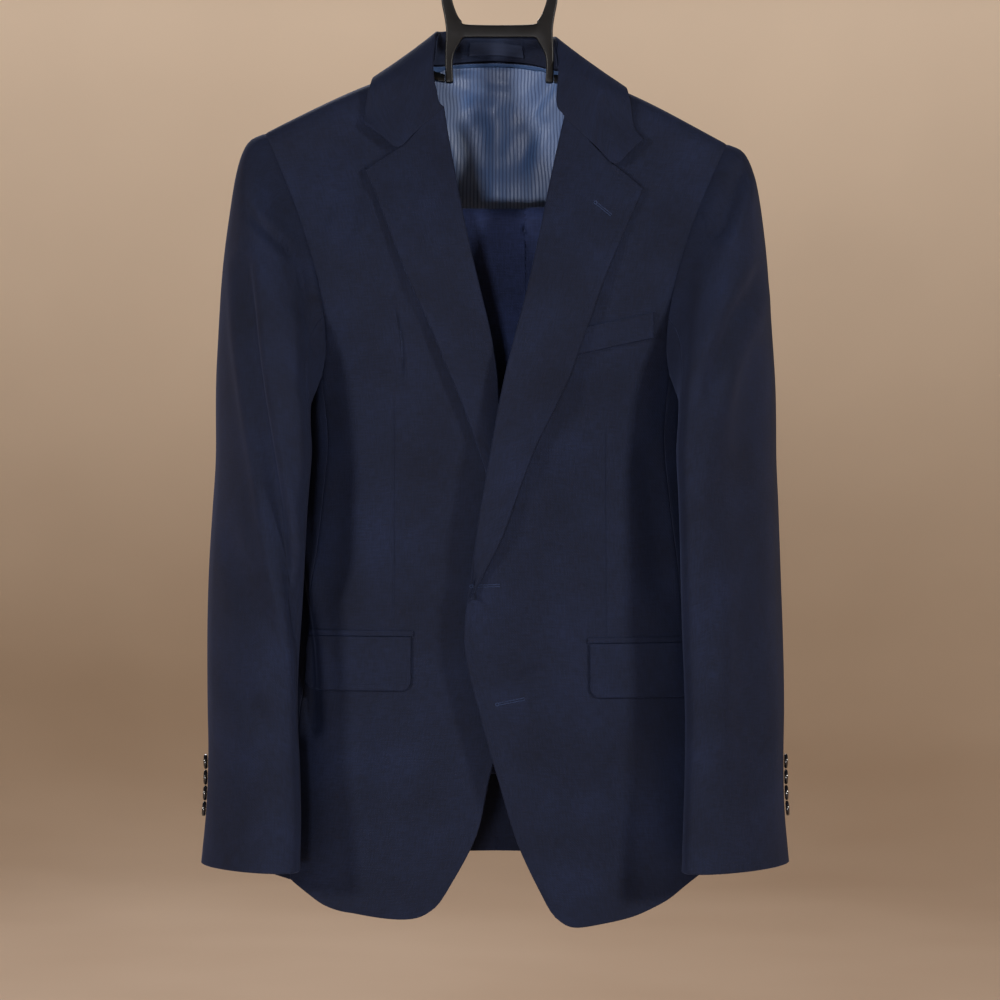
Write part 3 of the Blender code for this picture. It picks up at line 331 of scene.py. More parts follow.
def border_loop(sheet):
    """The sheet's border as vertices in order, and each vertex's neighbours."""
    inside, near, ahead = set(sheet), {}, {}
    for face in sheet:
        for loop in face.loops:
            a, b = loop.vert, loop.edge.other_vert(loop.vert)
            near.setdefault(a.index, set()).add(b.index)
            near.setdefault(b.index, set()).add(a.index)
            if sum(other in inside for other in loop.edge.link_faces) == 1:
                ahead[a.index] = b.index
    path = [min(ahead)]
    while ahead[path[-1]] != path[0]:
        path.append(ahead[path[-1]])
    return path, near


def wall_grid(name, down, across, outward):
    """A wall's outer face as a grid of points, its rows following down and its columns across."""
    work = merged(name)
    spots = np.array([vertex.co[:] for vertex in work.verts])
    faces = two_faces(work)
    lean = [sum((face.normal * face.calc_area() for face in sheet), Vector()).dot(outward) for sheet in faces]
    loop, near = border_loop(faces[lean.index(max(lean))])
    work.free()
    total = len(loop) // 2 + 2
    spread = math.isqrt(total * total - 4 * len(near))
    best, best_score = None, -1e9
    for order in (loop, loop[::-1]):
        for rows in ((total + spread) // 2, (total - spread) // 2):
            for start in range(len(order)):
                found = filled(order, start, rows, total - rows, near)
                if found is None:
                    continue
                grid = spots[np.array(found)]
                score = (grid[-1] - grid[0]).mean(axis=0) @ np.array(down)
                score += (grid[:, -1] - grid[:, 0]).mean(axis=0) @ np.array(across)
                if score > best_score:
                    best, best_score = grid, score
    return best


JACKET_PANELS = {}
for side, sign in SIDES.items():
    away, inward = (sign, 0, 0), (-sign, 0, 0)
    for kind, across, outward in (
        ("front", away, FORE),
        ("back", away, AFT),
        ("side_panel", AFT, away),
        ("sleeve_top", FORE, away),
        ("sleeve_under", AFT, inward),
    ):
        grid = wall_grid(f"{kind}_{side}", DOWN, across, outward)
        JACKET_PANELS[f"{kind}_{side}"] = (grid, outward)
        print(f"{kind}_{side}", "grid", grid.shape[:2])

# %% [markdown]
# ## From a coarse grid to smooth cloth
# Subdividing a mesh would pull the cloth in from its form, and pieces that share a seam would part.
# A spline that passes through every grid point keeps the form and the seams. Catmull and Rom's
# spline needs only the four nearest points, so it can be written as a table of weights, once for
# the rows and once for the columns. The samples crowd together near the borders, where seams are
# pressed in and edges are turned.

# %% Splines through grids
CELL = 0.0042
EDGE_STEPS = (0.0007, 0.0018, 0.0034)


def spline_weights(count, places):
    """Weights of a smooth curve through evenly numbered points, for each place along it."""
    weights = np.zeros((len(places), count))
    for row, place in enumerate(places):
        first = min(int(place), count - 2)
        t = place - first
        shares = (-t + 2 * t**2 - t**3, 2 - 5 * t**2 + 3 * t**3, t + 4 * t**2 - 3 * t**3, t**3 - t**2)
        for k, share in zip(range(first - 1, first + 3), shares):
            if k < 0:
                weights[row, :2] += (share, -share / 2)
            elif k >= count:
                weights[row, -2:] += (-share / 2, share)
            else:
                weights[row, k] += share / 2
    return weights


def places_along(lengths, cell):
    """Places to sample an axis at, in grid steps: about a cell apart, and closer near both ends."""
    places = []
    for i, length in enumerate(lengths):
        parts = max(1, round(length / cell))
        places += [i + k / parts for k in range(parts)]
    last = len(lengths)
    near = [step / lengths[0] for step in EDGE_STEPS if step < lengths[0] / 2]
    far = [last - step / lengths[-1] for step in EDGE_STEPS if step < lengths[-1] / 2]
    low, high = max(near, default=0.3) * 1.3, last - (last - min(far, default=last - 0.3)) * 1.3
    return sorted({0.0, float(last), *near, *far, *(place for place in places if low < place < high)})


def axis_lengths(grid, axis):
    """The mean length of the grid's steps along an axis."""
    steps = np.linalg.norm(np.diff(grid, axis=axis), axis=2)
    return steps.mean(axis=1 - axis)


def smoothed(grid, cell=CELL):
    """A fine grid on the smooth surface through a coarse one."""
    rows = spline_weights(grid.shape[0], places_along(axis_lengths(grid, 0), cell))
    columns = spline_weights(grid.shape[1], places_along(axis_lengths(grid, 1), cell))
    return np.einsum("ar,rck,bc->abk", rows, grid, columns)


def unit(vectors):
    """The vectors, made one long."""
    return vectors / np.maximum(np.linalg.norm(vectors, axis=-1, keepdims=True), 1e-12)


def normals_of(grid, outward):
    """Unit normals, turned so that on the whole they point outward."""
    found = unit(np.cross(np.gradient(grid, axis=1), np.gradient(grid, axis=0)))
    return found if (found.reshape(-1, 3) @ np.array(outward, float)).sum() > 0 else -found


def run_along(grid, axis):
    """Distance walked over the cloth from the grid's first row or column."""
    steps = np.linalg.norm(np.diff(grid, axis=axis), axis=2)
    return np.concatenate([np.zeros_like(steps.take([0], axis=axis)), np.cumsum(steps, axis=axis)], axis=axis)


print("half way between the middle two of four points:", spline_weights(4, [1.5])[0])

# %% [markdown]
# ## Creases
# Worsted hung on a hanger is never flat. The sleeve heads pull in short slanting folds, a long
# trough runs down the front of each sleeve where it has bent round an arm, and the chest drags a
# little towards the armhole. Each crease here is a line on the cloth, given by its half width, its
# depth and a few points that it runs through when seen from the front or the back. Across it is a
# trough with a low swell on both sides, and it fades out at its ends, which is what a real soft
# fold does. All pieces share one list, so a fold crosses a seam without a step.

# %% Where the creases lie
CREASES = {
    # face: (half width, depth, the (x, z) points it runs through)
    "front": (
        (0.0066, 0.0062, (-0.2236, -0.330), (-0.2166, -0.395), (-0.2088, -0.448), (-0.1984, -0.508),
         (-0.1871, -0.569), (-0.1775, -0.613), (-0.1690, -0.662), (-0.1640, -0.735)),
        (0.0060, 0.0018, (-0.1680, -0.350), (-0.1640, -0.398), (-0.1670, -0.446)),
        (0.0040, 0.0024, (-0.2200, -0.284), (-0.2010, -0.302), (-0.1830, -0.317)),
        (0.0030, 0.0016, (-0.1760, -0.3466), (-0.1600, -0.3440)),
        (0.0050, 0.0014, (-0.1800, -0.366), (-0.1620, -0.376)),
        (0.0110, 0.0016, (-0.240, -0.560), (-0.206, -0.640)),
        (0.0100, 0.0014, (-0.236, -0.690), (-0.196, -0.730)),
        (0.0070, 0.0034, (0.2150, -0.240), (0.2030, -0.272), (0.1900, -0.306)),
        (0.0085, 0.0042, (0.2350, -0.332), (0.2060, -0.376), (0.1900, -0.414), (0.1800, -0.450)),
        (0.0030, 0.0016, (0.1770, -0.2830), (0.1880, -0.2876)),
        (0.0035, 0.0014, (0.1800, -0.2960), (0.1930, -0.3010)),
        (0.0130, 0.0030, (0.2200, -0.400), (0.2120, -0.520), (0.2100, -0.640), (0.2160, -0.780)),
        (0.0120, 0.0020, (0.1920, -0.500), (0.1780, -0.690)),
        (0.0060, 0.0012, (-0.1120, -0.228), (-0.1250, -0.270), (-0.1366, -0.316)),
        (0.0050, 0.0009, (-0.1470, -0.262), (-0.1540, -0.296)),
        (0.0090, 0.0014, (-0.0810, -0.343), (-0.0870, -0.390), (-0.0948, -0.434)),
        (0.0110, 0.0011, (0.1400, -0.262), (0.1170, -0.345)),
        (0.0130, 0.0014, (0.0220, -0.500), (0.0520, -0.520), (0.0820, -0.548)),
        (0.0080, 0.0010, (0.0560, -0.428), (0.0740, -0.462)),
        (0.0060, 0.0014, (0.0120, -0.694), (0.0400, -0.682)),
        (0.0120, 0.0016, (0.1280, -0.480), (0.1400, -0.620)),
        (0.0120, 0.0016, (-0.1360, -0.500), (-0.1460, -0.630)),
        (0.0150, 0.0018, (-0.1200, -0.730), (-0.1320, -0.880)),
        (0.0150, 0.0016, (0.1050, -0.740), (0.1240, -0.880)),
    ),
    "back": (
        (0.0120, 0.0024, (-0.170, -0.300), (-0.120, -0.420)),
        (0.0110, 0.0022, (0.166, -0.310), (0.112, -0.400)),
        (0.0150, 0.0026, (-0.140, -0.380), (-0.112, -0.470), (-0.108, -0.560)),
        (0.0160, 0.0024, (0.138, -0.400), (0.116, -0.500), (0.118, -0.600)),
        (0.0080, 0.0012, (-0.048, -0.172), (0.040, -0.178)),
        (0.0180, 0.0018, (-0.070, -0.560), (-0.058, -0.760)),
        (0.0180, 0.0020, (0.064, -0.540), (0.078, -0.800)),
        (0.0110, 0.0028, (-0.232, -0.360), (-0.206, -0.470)),
        (0.0110, 0.0026, (0.230, -0.350), (0.200, -0.450)),
        (0.0090, 0.0024, (-0.240, -0.520), (-0.216, -0.552), (-0.196, -0.570)),
        (0.0090, 0.0022, (-0.236, -0.560), (-0.200, -0.620)),
        (0.0090, 0.0024, (0.238, -0.530), (0.192, -0.586)),
        (0.0100, 0.0020, (0.236, -0.590), (0.196, -0.640)),
    ),
}
PRESS = 1.25  # how strongly all creases show
SWELL = 0.42  # the low ridge beside a trough, as a share of its depth
FADE = 0.28  # the share of a crease over which it fades out at each end
print("creases", {face: len(lines) for face, lines in CREASES.items()})

# %% [markdown]
# A point feels a crease by its distance from the crease's path. Creases seen from the front press
# only cloth that faces the front, and the others only cloth that faces the back.

# %% How creases press the cloth
def eased(share):
    """A smooth step from 0 to 1."""
    share = np.clip(share, 0.0, 1.0)
    return share * share * (3 - 2 * share)


def faded(share, first, last, floor):
    """Strength along a fold: it grows from a low value over its first part and shrinks over its last."""
    return eased(share * first + floor) * eased((1 - share) * last + floor)


def along_path(spots, *path):
    """Distance from a path in the upright plane, and the share of the way along it."""
    path = np.array(path, float)
    steps = np.diff(path, axis=0)
    lengths = np.linalg.norm(steps, axis=1)
    best, share = np.full(spots.shape[:-1], np.inf), np.zeros(spots.shape[:-1])
    for i, (start, step) in enumerate(zip(path, steps)):
        along = ((spots - start) @ step) / (step @ step)
        low, high = (-9 if i == 0 else 0), (9 if i == len(steps) - 1 else 1)
        distance = np.linalg.norm(spots - (start + np.clip(along, 0, 1)[..., None] * step), axis=-1)
        nearer = distance < best
        best = np.where(nearer, distance, best)
        whole = (lengths[:i].sum() + np.clip(along, low, high) * lengths[i]) / lengths.sum()
        share = np.where(nearer, whole, share)
    return best, share


def crease_depth(grid, normals):
    """How far the cloth is moved out along its normal by the creases on its side of the jacket."""
    moved = np.zeros(grid.shape[:2])
    spots = grid[..., (0, 2)]
    for face, turned in (("front", -1), ("back", 1)):
        faces_it = eased(normals[..., 1] * turned * 2.2 - 0.1)
        for width, depth, *path in CREASES[face]:
            distance, share = along_path(spots, *path)
            across = distance / width
            profile = -np.exp(-(across**2)) + SWELL * np.exp(-((across - 2.0) ** 2))
            moved += PRESS * depth * profile * faded(share, 1 / FADE, 1 / FADE, 0.5) * faces_it
    return moved


def hand(grid):
    """The slow unevenness of hung wool: a few long waves, a third of a millimetre or so high."""
    x, y, z = grid[..., 0], grid[..., 1], grid[..., 2]
    slow = np.sin(41 * x + 17 * z + 1.3) * np.sin(23 * z - 31 * y + 0.4)
    slower = np.sin(19 * x - 27 * z + 26 * y + 2.1)
    return 0.00045 * slow + 0.00040 * slower


print("half way", eased(0.5), "and at a quarter", eased(0.25))

# %% [markdown]
# ## A finished cloth piece
# Every cut piece becomes a closed thin mesh: an outer face, an inner face one cloth thickness
# behind it, and a rounded rim between them. A seam is pressed in by half a millimetre over the last
# two, an edge that is turned and stitched keeps its full thickness and gets a shallow groove under
# its stitches. The UV map is measured in metres over the cloth, so that the weave keeps its scale.
# The inner face can have another finish, for the side of the jacket that is lined.

# %% Making a shell
SEAM_DIP, SEAM_REACH = 0.00055, 0.0016
GROOVE_DEPTH, GROOVE_WIDTH = 0.00028, 0.0013
BORDERS = ("top", "right", "bottom", "left")
SEAM_GAP = 0.0012  # borders closer than this are sewn together
SEAM_TURN = 0.0035  # over which a seam's shared normal fades into the cloth
RAW_RIM, CUT_RIM, TURNED = 0.0001, 0.0003, 0.0007  # how far a plain, a folded and a turned border bulges
ROLL_STEP = 0.7  # from one piece to the next on the roll of cloth, so that no two look the same
SMALLEST = 0.010  # the shortest cut: a jetting is a strip of this, folded in half
PLAIN = {
    "slot": "jacket_worsted",
    "seams": (),  # borders that are sewn to another piece
    "grooves": {},  # how far inside each stitched border the stitches run
    "rims": {},  # how far each turned border bulges
    "creased": True,
    "extra": 0.0,  # moved outward, at each point
    "held": "hung",
    "rests_on": ("hanger_shoulder_left", "hanger_shoulder_right"),
}
CLOTH = {}


def in_scene(name, data):
    """An object for the data, put into the scene."""
    made = bpy.data.objects.new(name, data)
    bpy.context.scene.collection.objects.link(made)
    return made


def border_runs(grid):
    """Each border's distance over the cloth to every point of the grid."""
    down, across = run_along(grid, 0), run_along(grid, 1)
    return {"top": down, "left": across, "bottom": down[-1:] - down, "right": across[:, -1:] - across}


def rim_of(grid, normals, thickness, rims):
    """The border's points in order, and a rounded ring of points halfway through the wall."""
    rows, columns = grid.shape[:2]
    order = list(zip(*border_order(grid)))
    ring = []
    for i, j in order:
        push = np.zeros(3)
        for border, here, inside in (
            ("top", i == 0, (1, j)), ("bottom", i == rows - 1, (rows - 2, j)),
            ("left", j == 0, (i, 1)), ("right", j == columns - 1, (i, columns - 2)),
        ):
            if here:
                push += unit(grid[i, j] - grid[inside]) * rims.get(border, RAW_RIM)
        ring.append(grid[i, j] - normals[i, j] * thickness / 2 + push)
    return order, ring


def shell(name, grid, normals, thickness, finishes, rims):
    """The closed mesh of a cloth piece, with its UV map in metres."""
    rows, columns = grid.shape[:2]
    count = rows * columns
    order, ring = rim_of(grid, normals, thickness, rims)
    points = np.concatenate([grid.reshape(-1, 3), (grid - normals * thickness).reshape(-1, 3), ring])
    cells = np.arange(count).reshape(rows, columns)
    a, b, c, d = cells[:-1, :-1], cells[1:, :-1], cells[1:, 1:], cells[:-1, 1:]
    outer = np.stack([a, b, c, d], axis=-1).reshape(-1, 4)
    inner = outer[:, ::-1] + count
    edge = np.array([i * columns + j for i, j in order])
    middle = 2 * count + np.arange(len(edge))
    after, middle_after = np.roll(edge, -1), np.roll(middle, -1)
    outer_rim = np.stack([edge, after, middle_after, middle], axis=-1)
    inner_rim = np.stack([middle, middle_after, after + count, edge + count], axis=-1)
    faces = np.concatenate([outer, outer_rim, inner_rim, inner])
    mesh = bpy.data.meshes.new(name)
    mesh.from_pydata(points.tolist(), [], faces.tolist())
    for finish in finishes:
        mesh.materials.append(finish)
    if len(finishes) > 1:
        mesh.polygons.foreach_set("material_index", [0] * (len(faces) - len(inner)) + [1] * len(inner))
    across, down = run_along(grid, 1), run_along(grid, 0)
    middle_column = columns // 2
    u = across - across[:, middle_column : middle_column + 1]
    v = grid[0, :, 2] - down
    flat = np.stack([u, v], axis=-1).reshape(-1, 2) + len(CLOTH) * ROLL_STEP
    flat = np.concatenate([flat, flat, flat[edge]])
    corners = np.zeros(len(mesh.loops), np.int32)
    mesh.loops.foreach_get("vertex_index", corners)
    mesh.uv_layers.new(name="cloth").data.foreach_set("uv", flat[corners].ravel())
    work = bmesh.new()
    work.from_mesh(mesh)
    if work.calc_volume(signed=True) < 0:
        bmesh.ops.reverse_faces(work, faces=work.faces)
    work.to_mesh(mesh)
    work.free()
    mesh.shade_smooth()
    return in_scene(name, mesh)


print("sheets that lie closer than", SEAM_GAP, "m are sewn")

# %% [markdown]
# A piece is pressed by moving its points along their normals. Pieces that are sewn together must
# still meet after that, so each border point is brought together with the nearest one of any
# neighbour, and both get one shared normal that fades into the cloth.

# %% Pressing and joining
def pressed(piece, grid, normals):
    """The cloth after pressing: creases, seams pressed in, and grooves under edge stitches."""
    runs = border_runs(grid)
    moved = np.zeros(grid.shape[:2]) + piece["extra"]
    if piece["creased"]:
        moved += crease_depth(grid, normals) + hand(grid)
    for border in piece["seams"]:
        moved -= SEAM_DIP * np.exp(-((runs[border] / SEAM_REACH) ** 2))
    for border, inset in piece["grooves"].items():
        moved -= GROOVE_DEPTH * np.exp(-(((runs[border] - inset) / GROOVE_WIDTH) ** 2))
    return grid + normals * moved[..., None]


def joined(pieces):
    """Brings the pieces' borders together where they meet, and gives them one normal there."""
    rings = {}
    for name, (grid, normals) in pieces.items():
        order = border_order(grid)
        rings[name] = (order, grid[order], normals[order])
    for name, (grid, normals) in pieces.items():
        order, spots, leans = rings[name]
        total, lean, count = spots.copy(), leans.copy(), np.ones(len(spots))
        for other, (_, places, turns) in rings.items():
            if other == name or not close_boxes(spots, places):
                continue
            ahead, turns_ahead = np.roll(places, -1, axis=0), np.roll(turns, -1, axis=0)
            step = ahead - places
            share = ((spots[:, None] - places) * step).sum(-1) / np.maximum((step * step).sum(-1), 1e-14)
            share = np.clip(share, 0, 1)[..., None]
            nearest = places + share * step
            distance = np.linalg.norm(spots[:, None] - nearest, axis=-1)
            best = distance.argmin(axis=1)
            rows = np.arange(len(spots))
            meets = distance[rows, best] < SEAM_GAP
            turned = turns[best] + share[rows, best] * (turns_ahead[best] - turns[best])
            total[meets] += nearest[rows, best][meets]
            lean[meets] += turned[meets]
            count += meets
        grid, normals = grid.copy(), normals.copy()
        grid[order] = total / count[:, None]
        normals[order] = unit(lean)
        yield name, (grid, spread(grid, normals))


def border_order(grid):
    """The row and column numbers of the border, once round."""
    rows, columns = grid.shape[:2]
    order = [(0, j) for j in range(columns)] + [(i, columns - 1) for i in range(1, rows)]
    order += [(rows - 1, j) for j in range(columns - 2, -1, -1)] + [(i, 0) for i in range(rows - 2, 0, -1)]
    return tuple(np.array(order).T)


def close_boxes(a, b):
    """Whether the boxes round two sets of points come within a seam of each other."""
    low, high = np.maximum(a.min(axis=0), b.min(axis=0)), np.minimum(a.max(axis=0), b.max(axis=0))
    return (low - SEAM_GAP < high).all()


def spread(grid, normals):
    """Lets a border's normals fade into the cloth over a few millimetres."""
    runs = border_runs(grid)
    edges = {"top": normals[:1], "bottom": normals[-1:], "left": normals[:, :1], "right": normals[:, -1:]}
    blended = normals.copy()
    for border in BORDERS:
        weight = np.exp(-((runs[border] / SEAM_TURN) ** 2))[..., None]
        blended = blended * (1 - weight) + edges[border] * weight
    return unit(blended)


print("a seam is pressed in by", SEAM_DIP, "m over", SEAM_REACH, "m")

# %% [markdown]
# Sewing does all of that in turn for a group of pieces. Each finished piece takes the place of its plain wall
# in the frame, and the size it was cut to is measured along the laid cloth.

# %% Sewing
def declared(piece, laid, normals):
    """Makes a piece from its laid grid, in the frame's place, and measures how it was cut."""
    name = piece["name"]
    made = shell(f"cloth_{name}", laid, normals, piece["thickness"], piece["finishes"], piece["rims"])
    runs = border_runs(laid)
    width, length = float(runs["left"].max()), float(runs["top"].max())
    cells = np.cross(np.diff(laid, axis=0)[:, :-1], np.diff(laid, axis=1)[:-1])
    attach(made, "root")
    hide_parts(name)
    cut = (round(width, 3), round(max(length, SMALLEST), 3))
    list(piece["rests_on"])
    CLOTH[name] = {"object": made, "grid": laid, "normals": normals}


def sew(pieces):
    """Joins pieces at their seams, presses them and joins them again. PLAIN fills in what is left out."""
    pieces = {piece["name"]: {**PLAIN, **piece} for piece in pieces}
    laid = {name: (p["grid"], normals_of(p["grid"], p["outward"])) for name, p in pieces.items()}
    pressed_ones = {}
    for name, (grid, normals) in joined(laid):
        grid = pressed(pieces[name], grid, normals)
        pressed_ones[name] = (grid, normals_of(grid, pieces[name]["outward"]))
    for name, (grid, normals) in joined(pressed_ones):
        declared(pieces[name], grid, normals)


print("a piece is", ", ".join(PLAIN), "unless it says otherwise")

# %% [markdown]
# ## The jacket's body and sleeves
# A tailored jacket has ten main panels. The two fronts, the two flank panels and the two backs make
# the body, and each sleeve is a wide top piece and a narrow under piece, which is what lets it hang
# with a bend. The long vertical darts in the fronts take in the waist: each is a fine pressed line
# in a shallow hollow. Inside, the backs, flanks and sleeves are lined.

# %% Panels
PANEL_WALL = 0.0019
EDGE_INSET = 0.0055  # the stitching that holds a turned edge
DARTS = (
    # front, x at its top, z at its top, x at its foot, z at its foot
    ("front_right", -0.0925, -0.450, -0.0925, -0.640),
    ("front_left", 0.0935, -0.474, 0.0945, -0.657),
)
DART_LINE, DART_HOLLOW = (0.0009, 0.0009), (0.011, 0.0011)  # half width and depth of each
HEM_SOFTNESS, HEM_REACH, HEM_DEPTH = 0.006, 0.075, 0.04  # of the turn from front edge to hem
FLANK_REST = {"left": 0.0012, "right": 0.0026}  # the flanks bear on the sleeves under the arm
FLANK_Z, FLANK_SPAN, FLANK_OUT, FLANK_EASE = -0.462, 0.035, 0.140, 0.025
DART_COLUMNS = 0.0008  # between the columns of points beside a dart


def rounded_hem(grid):
    """Runs the front edge into the hem in one smooth curve, without a corner."""
    runs = border_runs(grid)
    up, along = runs["bottom"][:, 0], runs["left"][-1]
    path = np.concatenate([grid[:-1, 0], grid[-1]])
    marks = np.concatenate([-up[:-1], along])
    even = np.arange(-HEM_REACH, HEM_REACH + 0.0001, 0.001)
    line = np.stack([np.interp(even, marks, path[:, k]) for k in range(3)], axis=1)
    near = np.exp(-(((even[:, None] - even) / HEM_SOFTNESS) ** 2) / 2)
    pull = (near / near.sum(axis=1, keepdims=True)) @ line - line
    pull *= eased(2.5 * (1 - np.abs(even) / HEM_REACH))[:, None]
    side, foot, nose = (np.stack([np.interp(places, even, pull[:, k]) for k in range(3)], axis=-1)
                        for places in (-up, along, np.zeros(1)))
    from_side = np.clip(1 - runs["left"] / HEM_DEPTH, 0, 1)[..., None] ** 2
    from_foot = np.clip(1 - runs["bottom"] / HEM_DEPTH, 0, 1)[..., None] ** 2
    return grid + side[:, None] * from_side + foot[None] * from_foot - nose * from_side * from_foot


def dart_press(name, grid):
    """How far the darts of a front move its cloth."""
    moved = np.zeros(grid.shape[:2])
    for front, *line in DARTS:
        if front == name:
            distance, share = along_path(grid[..., (0, 2)], line[:2], line[2:])
            strengths = faded(share, 12, 12, 0.5), faded(share, 3, 3, 0.2)
            for (width, depth), strength in zip((DART_LINE, DART_HOLLOW), strengths):
                moved -= depth * np.exp(-((distance / width) ** 2)) * strength
    return moved


def panel_grid(name, grid):
    """The fine grid of a panel, with extra columns where a dart runs down it."""
    rows = spline_weights(grid.shape[0], places_along(axis_lengths(grid, 0), CELL))
    places = places_along(axis_lengths(grid, 1), CELL)
    for front, x, z, *_ in DARTS:
        if front == name:
            xs = grid[np.abs(grid[:, :, 2] - z).mean(axis=1).argmin(), :, 0]
            order = np.argsort(xs)
            place = float(np.interp(x, xs[order], order))
            step = DART_COLUMNS / axis_lengths(grid, 1).mean()
            places = sorted({*places, *(place + k * step for k in range(-12, 13))})
    columns = spline_weights(grid.shape[1], places)
    return np.einsum("ar,rck,bc->abk", rows, grid, columns)


body = []
for name, (coarse, outward) in JACKET_PANELS.items():
    kind, side = name.rsplit("_", 1)
    fine = panel_grid(name, coarse)
    front = kind == "front"
    if front:
        fine = rounded_hem(fine)
    bearing = 0.0
    if not kind.startswith("sleeve"):
        bearing = FLANK_REST[side] * np.exp(-(((fine[..., 2] - FLANK_Z) / FLANK_SPAN) ** 2))
        bearing = bearing * eased((np.abs(fine[..., 0]) - FLANK_OUT) / FLANK_EASE)
    body.append({
        "name": name,
        "grid": fine,
        "outward": outward,
        "finishes": (NAVY, NAVY if front else SATIN),
        "thickness": PANEL_WALL,
        "seams": ("top", "right") if front else ("top", "right", "left"),
        "grooves": {"left": EDGE_INSET, "bottom": EDGE_INSET} if front else {},
        "rims": {"left": TURNED, "bottom": TURNED} if front else {"bottom": TURNED},
        "extra": dart_press(name, fine) + bearing,
    })
sew(body)

# %% [markdown]
# ## Lapels and collar
# A lapel is not a flap sewn on: it is the front itself, rolled back over a line that runs from the
# neck to the top button. The roll is soft, held open by canvas, so its edge is a round turn about
# five millimetres deep, and the same holds for the collar's fold over its stand. Extra columns of
# points carry the cloth round each turn. The leaf itself is pressed flat, with a hand-stitched edge.

# %% The leaves and their rolls
LEAF_WALL = 0.0016
ROLL_TURNS = 9
LEAF_INSET = 0.0060
EDGE_CLOSE = 0.0036  # how much nearer to the chest a lapel's point lies than its middle
FOOT_DROP = 0.0034  # a lapel's foot comes down to its front
LAPEL_TURN = (0.0017, 0.0013, 0.0054)  # its bulge, what that loses at the foot, its depth
FOLD_TURN = (0.0015, 0.0040, 0.0016)  # the collar fold's bulge, its depth, how far it runs on inside
FOLD_SWELL, FOLD_PLACE, FOLD_SPAN = 0.0024, 0.015, 0.014  # the collar stands off near its right end
LEAF = {"finishes": (NAVY,), "thickness": LEAF_WALL, "grooves": {"right": LEAF_INSET}, "creased": False}


def with_roll(grid, normals, bulge, depth, tail=0.0):
    """Carries the cloth round a turn before its first column: outwards by bulge, and back by depth."""
    bulge, depth = (np.broadcast_to(size, len(grid))[:, None] for size in (bulge, depth))
    ahead = grid[:, 1] - grid[:, 0]
    lean = normals[:, 0]
    ahead = unit(ahead - (ahead * lean).sum(axis=-1, keepdims=True) * lean)
    columns = []
    if tail:
        columns.append(grid[:, 0] - lean * depth + ahead * tail)
    for k in range(ROLL_TURNS, 0, -1):
        angle = math.pi * k / ROLL_TURNS
        inwards = lean * depth / 2 * (1 - math.cos(angle))
        columns.append(grid[:, 0] - inwards - ahead * bulge * math.sin(angle))
    return np.concatenate([np.stack(columns, axis=1), grid], axis=1)


def foot_share(grid):
    """How far each point of a lapel has sunk to its front, which it does over the last of its roll."""
    return eased((run_along(grid, 0) / run_along(grid, 0)[-1:] - 0.84) / 0.14)


leaves = []
for side, sign in SIDES.items():
    name = f"lapel_{side}"
    fine = smoothed(wall_grid(name, DOWN, (sign, 0, 0), FORE))
    normals = normals_of(fine, FORE)
    sunk = foot_share(fine)
    across, down = run_along(fine, 1), run_along(fine, 0)
    close = across / across[:, -1:] * (1 - eased(down / down[-1:] / 0.55))
    fine = fine - normals * (close * EDGE_CLOSE + sunk * FOOT_DROP)[..., None]
    bulge, loss, depth = LAPEL_TURN
    fine = with_roll(fine, normals, bulge - loss * sunk[:, 0], depth - FOOT_DROP * sunk[:, 0])
    rims = {"right": TURNED, "top": CUT_RIM}
    leaves.append({**LEAF, "name": name, "grid": fine, "outward": FORE, "rims": rims})
fall = smoothed(wall_grid("collar_fall", (1, 0, 0), DOWN, (0, 0, 1)))
ends = np.minimum(run_along(fall, 0), run_along(fall, 0)[-1:] - run_along(fall, 0))
swell = (fall[..., 0] < 0) * FOLD_SWELL * np.exp(-(((ends - FOLD_PLACE) / FOLD_SPAN) ** 2))
fall[..., 0] += swell * eased(1 - run_along(fall, 1) / 0.022)
fall = with_roll(fall, normals_of(fall, (0, 0, 1)), *FOLD_TURN)
leaves.append({**LEAF, "name": "collar_fall", "grid": fall, "outward": (0, 0, 1),
               "rims": {"right": TURNED, "top": CUT_RIM, "bottom": CUT_RIM}})
sew(leaves)

# %% [markdown]
# ## Collar stand, lining and label
# Under the collar stands a strip that holds it up at the neck, and below that starts the lining,
# which has fullness to spare: it sags a little under the neck seam, wrinkles where it is caught at
# the shoulders, and carries a loose pleat down the middle so that the back can stretch. The label
# is a plain tape on the stand, sewn down at its two ends.

# %% Inside the neck
STAND_WALL, LINING_WALL, LABEL_WALL = 0.0012, 0.0008, 0.0009
LABEL_CELL = 0.003
# The navy band below this height is partly the hem's own facing and partly painted shade. It is set where the
# gap between the fronts falls into deep shade, so its dark cloth also stands in for that shade.
FACING_AND_SHADE_TOP = -0.752  # below this the inside of the hem is faced with the jacket's own cloth
LINING_FOLDS = (
    # (x, z of its start), (x, z of its end), half width, depth out towards the wearer's back
    ((-0.003, -0.165), (-0.004, -0.500), 0.0070, 0.0016),
    ((-0.040, -0.152), (0.012, -0.158), 0.0045, 0.0014),
    ((-0.030, -0.176), (-0.004, -0.184), 0.0085, 0.0026),
    ((0.052, -0.150), (0.020, -0.196), 0.0060, 0.0024),
    ((0.040, -0.190), (0.016, -0.232), 0.0070, 0.0020),
    ((-0.036, -0.196), (-0.020, -0.236), 0.0080, 0.0016),
    ((0.060, -0.200), (0.046, -0.300), 0.0110, 0.0030),
    ((-0.062, -0.210), (-0.050, -0.320), 0.0110, 0.0024),
    ((-0.044, -0.262), (0.044, -0.268), 0.0100, 0.0014),
)


def lining_press(grid):
    """How far the lining's own wrinkles move it."""
    moved = np.zeros(grid.shape[:2])
    for start, end, width, depth in LINING_FOLDS:
        distance, share = along_path(grid[..., (0, 2)], start, end)
        across = distance / width
        profile = np.exp(-(across**2)) - 0.5 * np.exp(-((across - 1.9) ** 2))
        moved += depth * profile * faded(share, 1 / FADE, 1 / FADE, 0.5)
    return moved


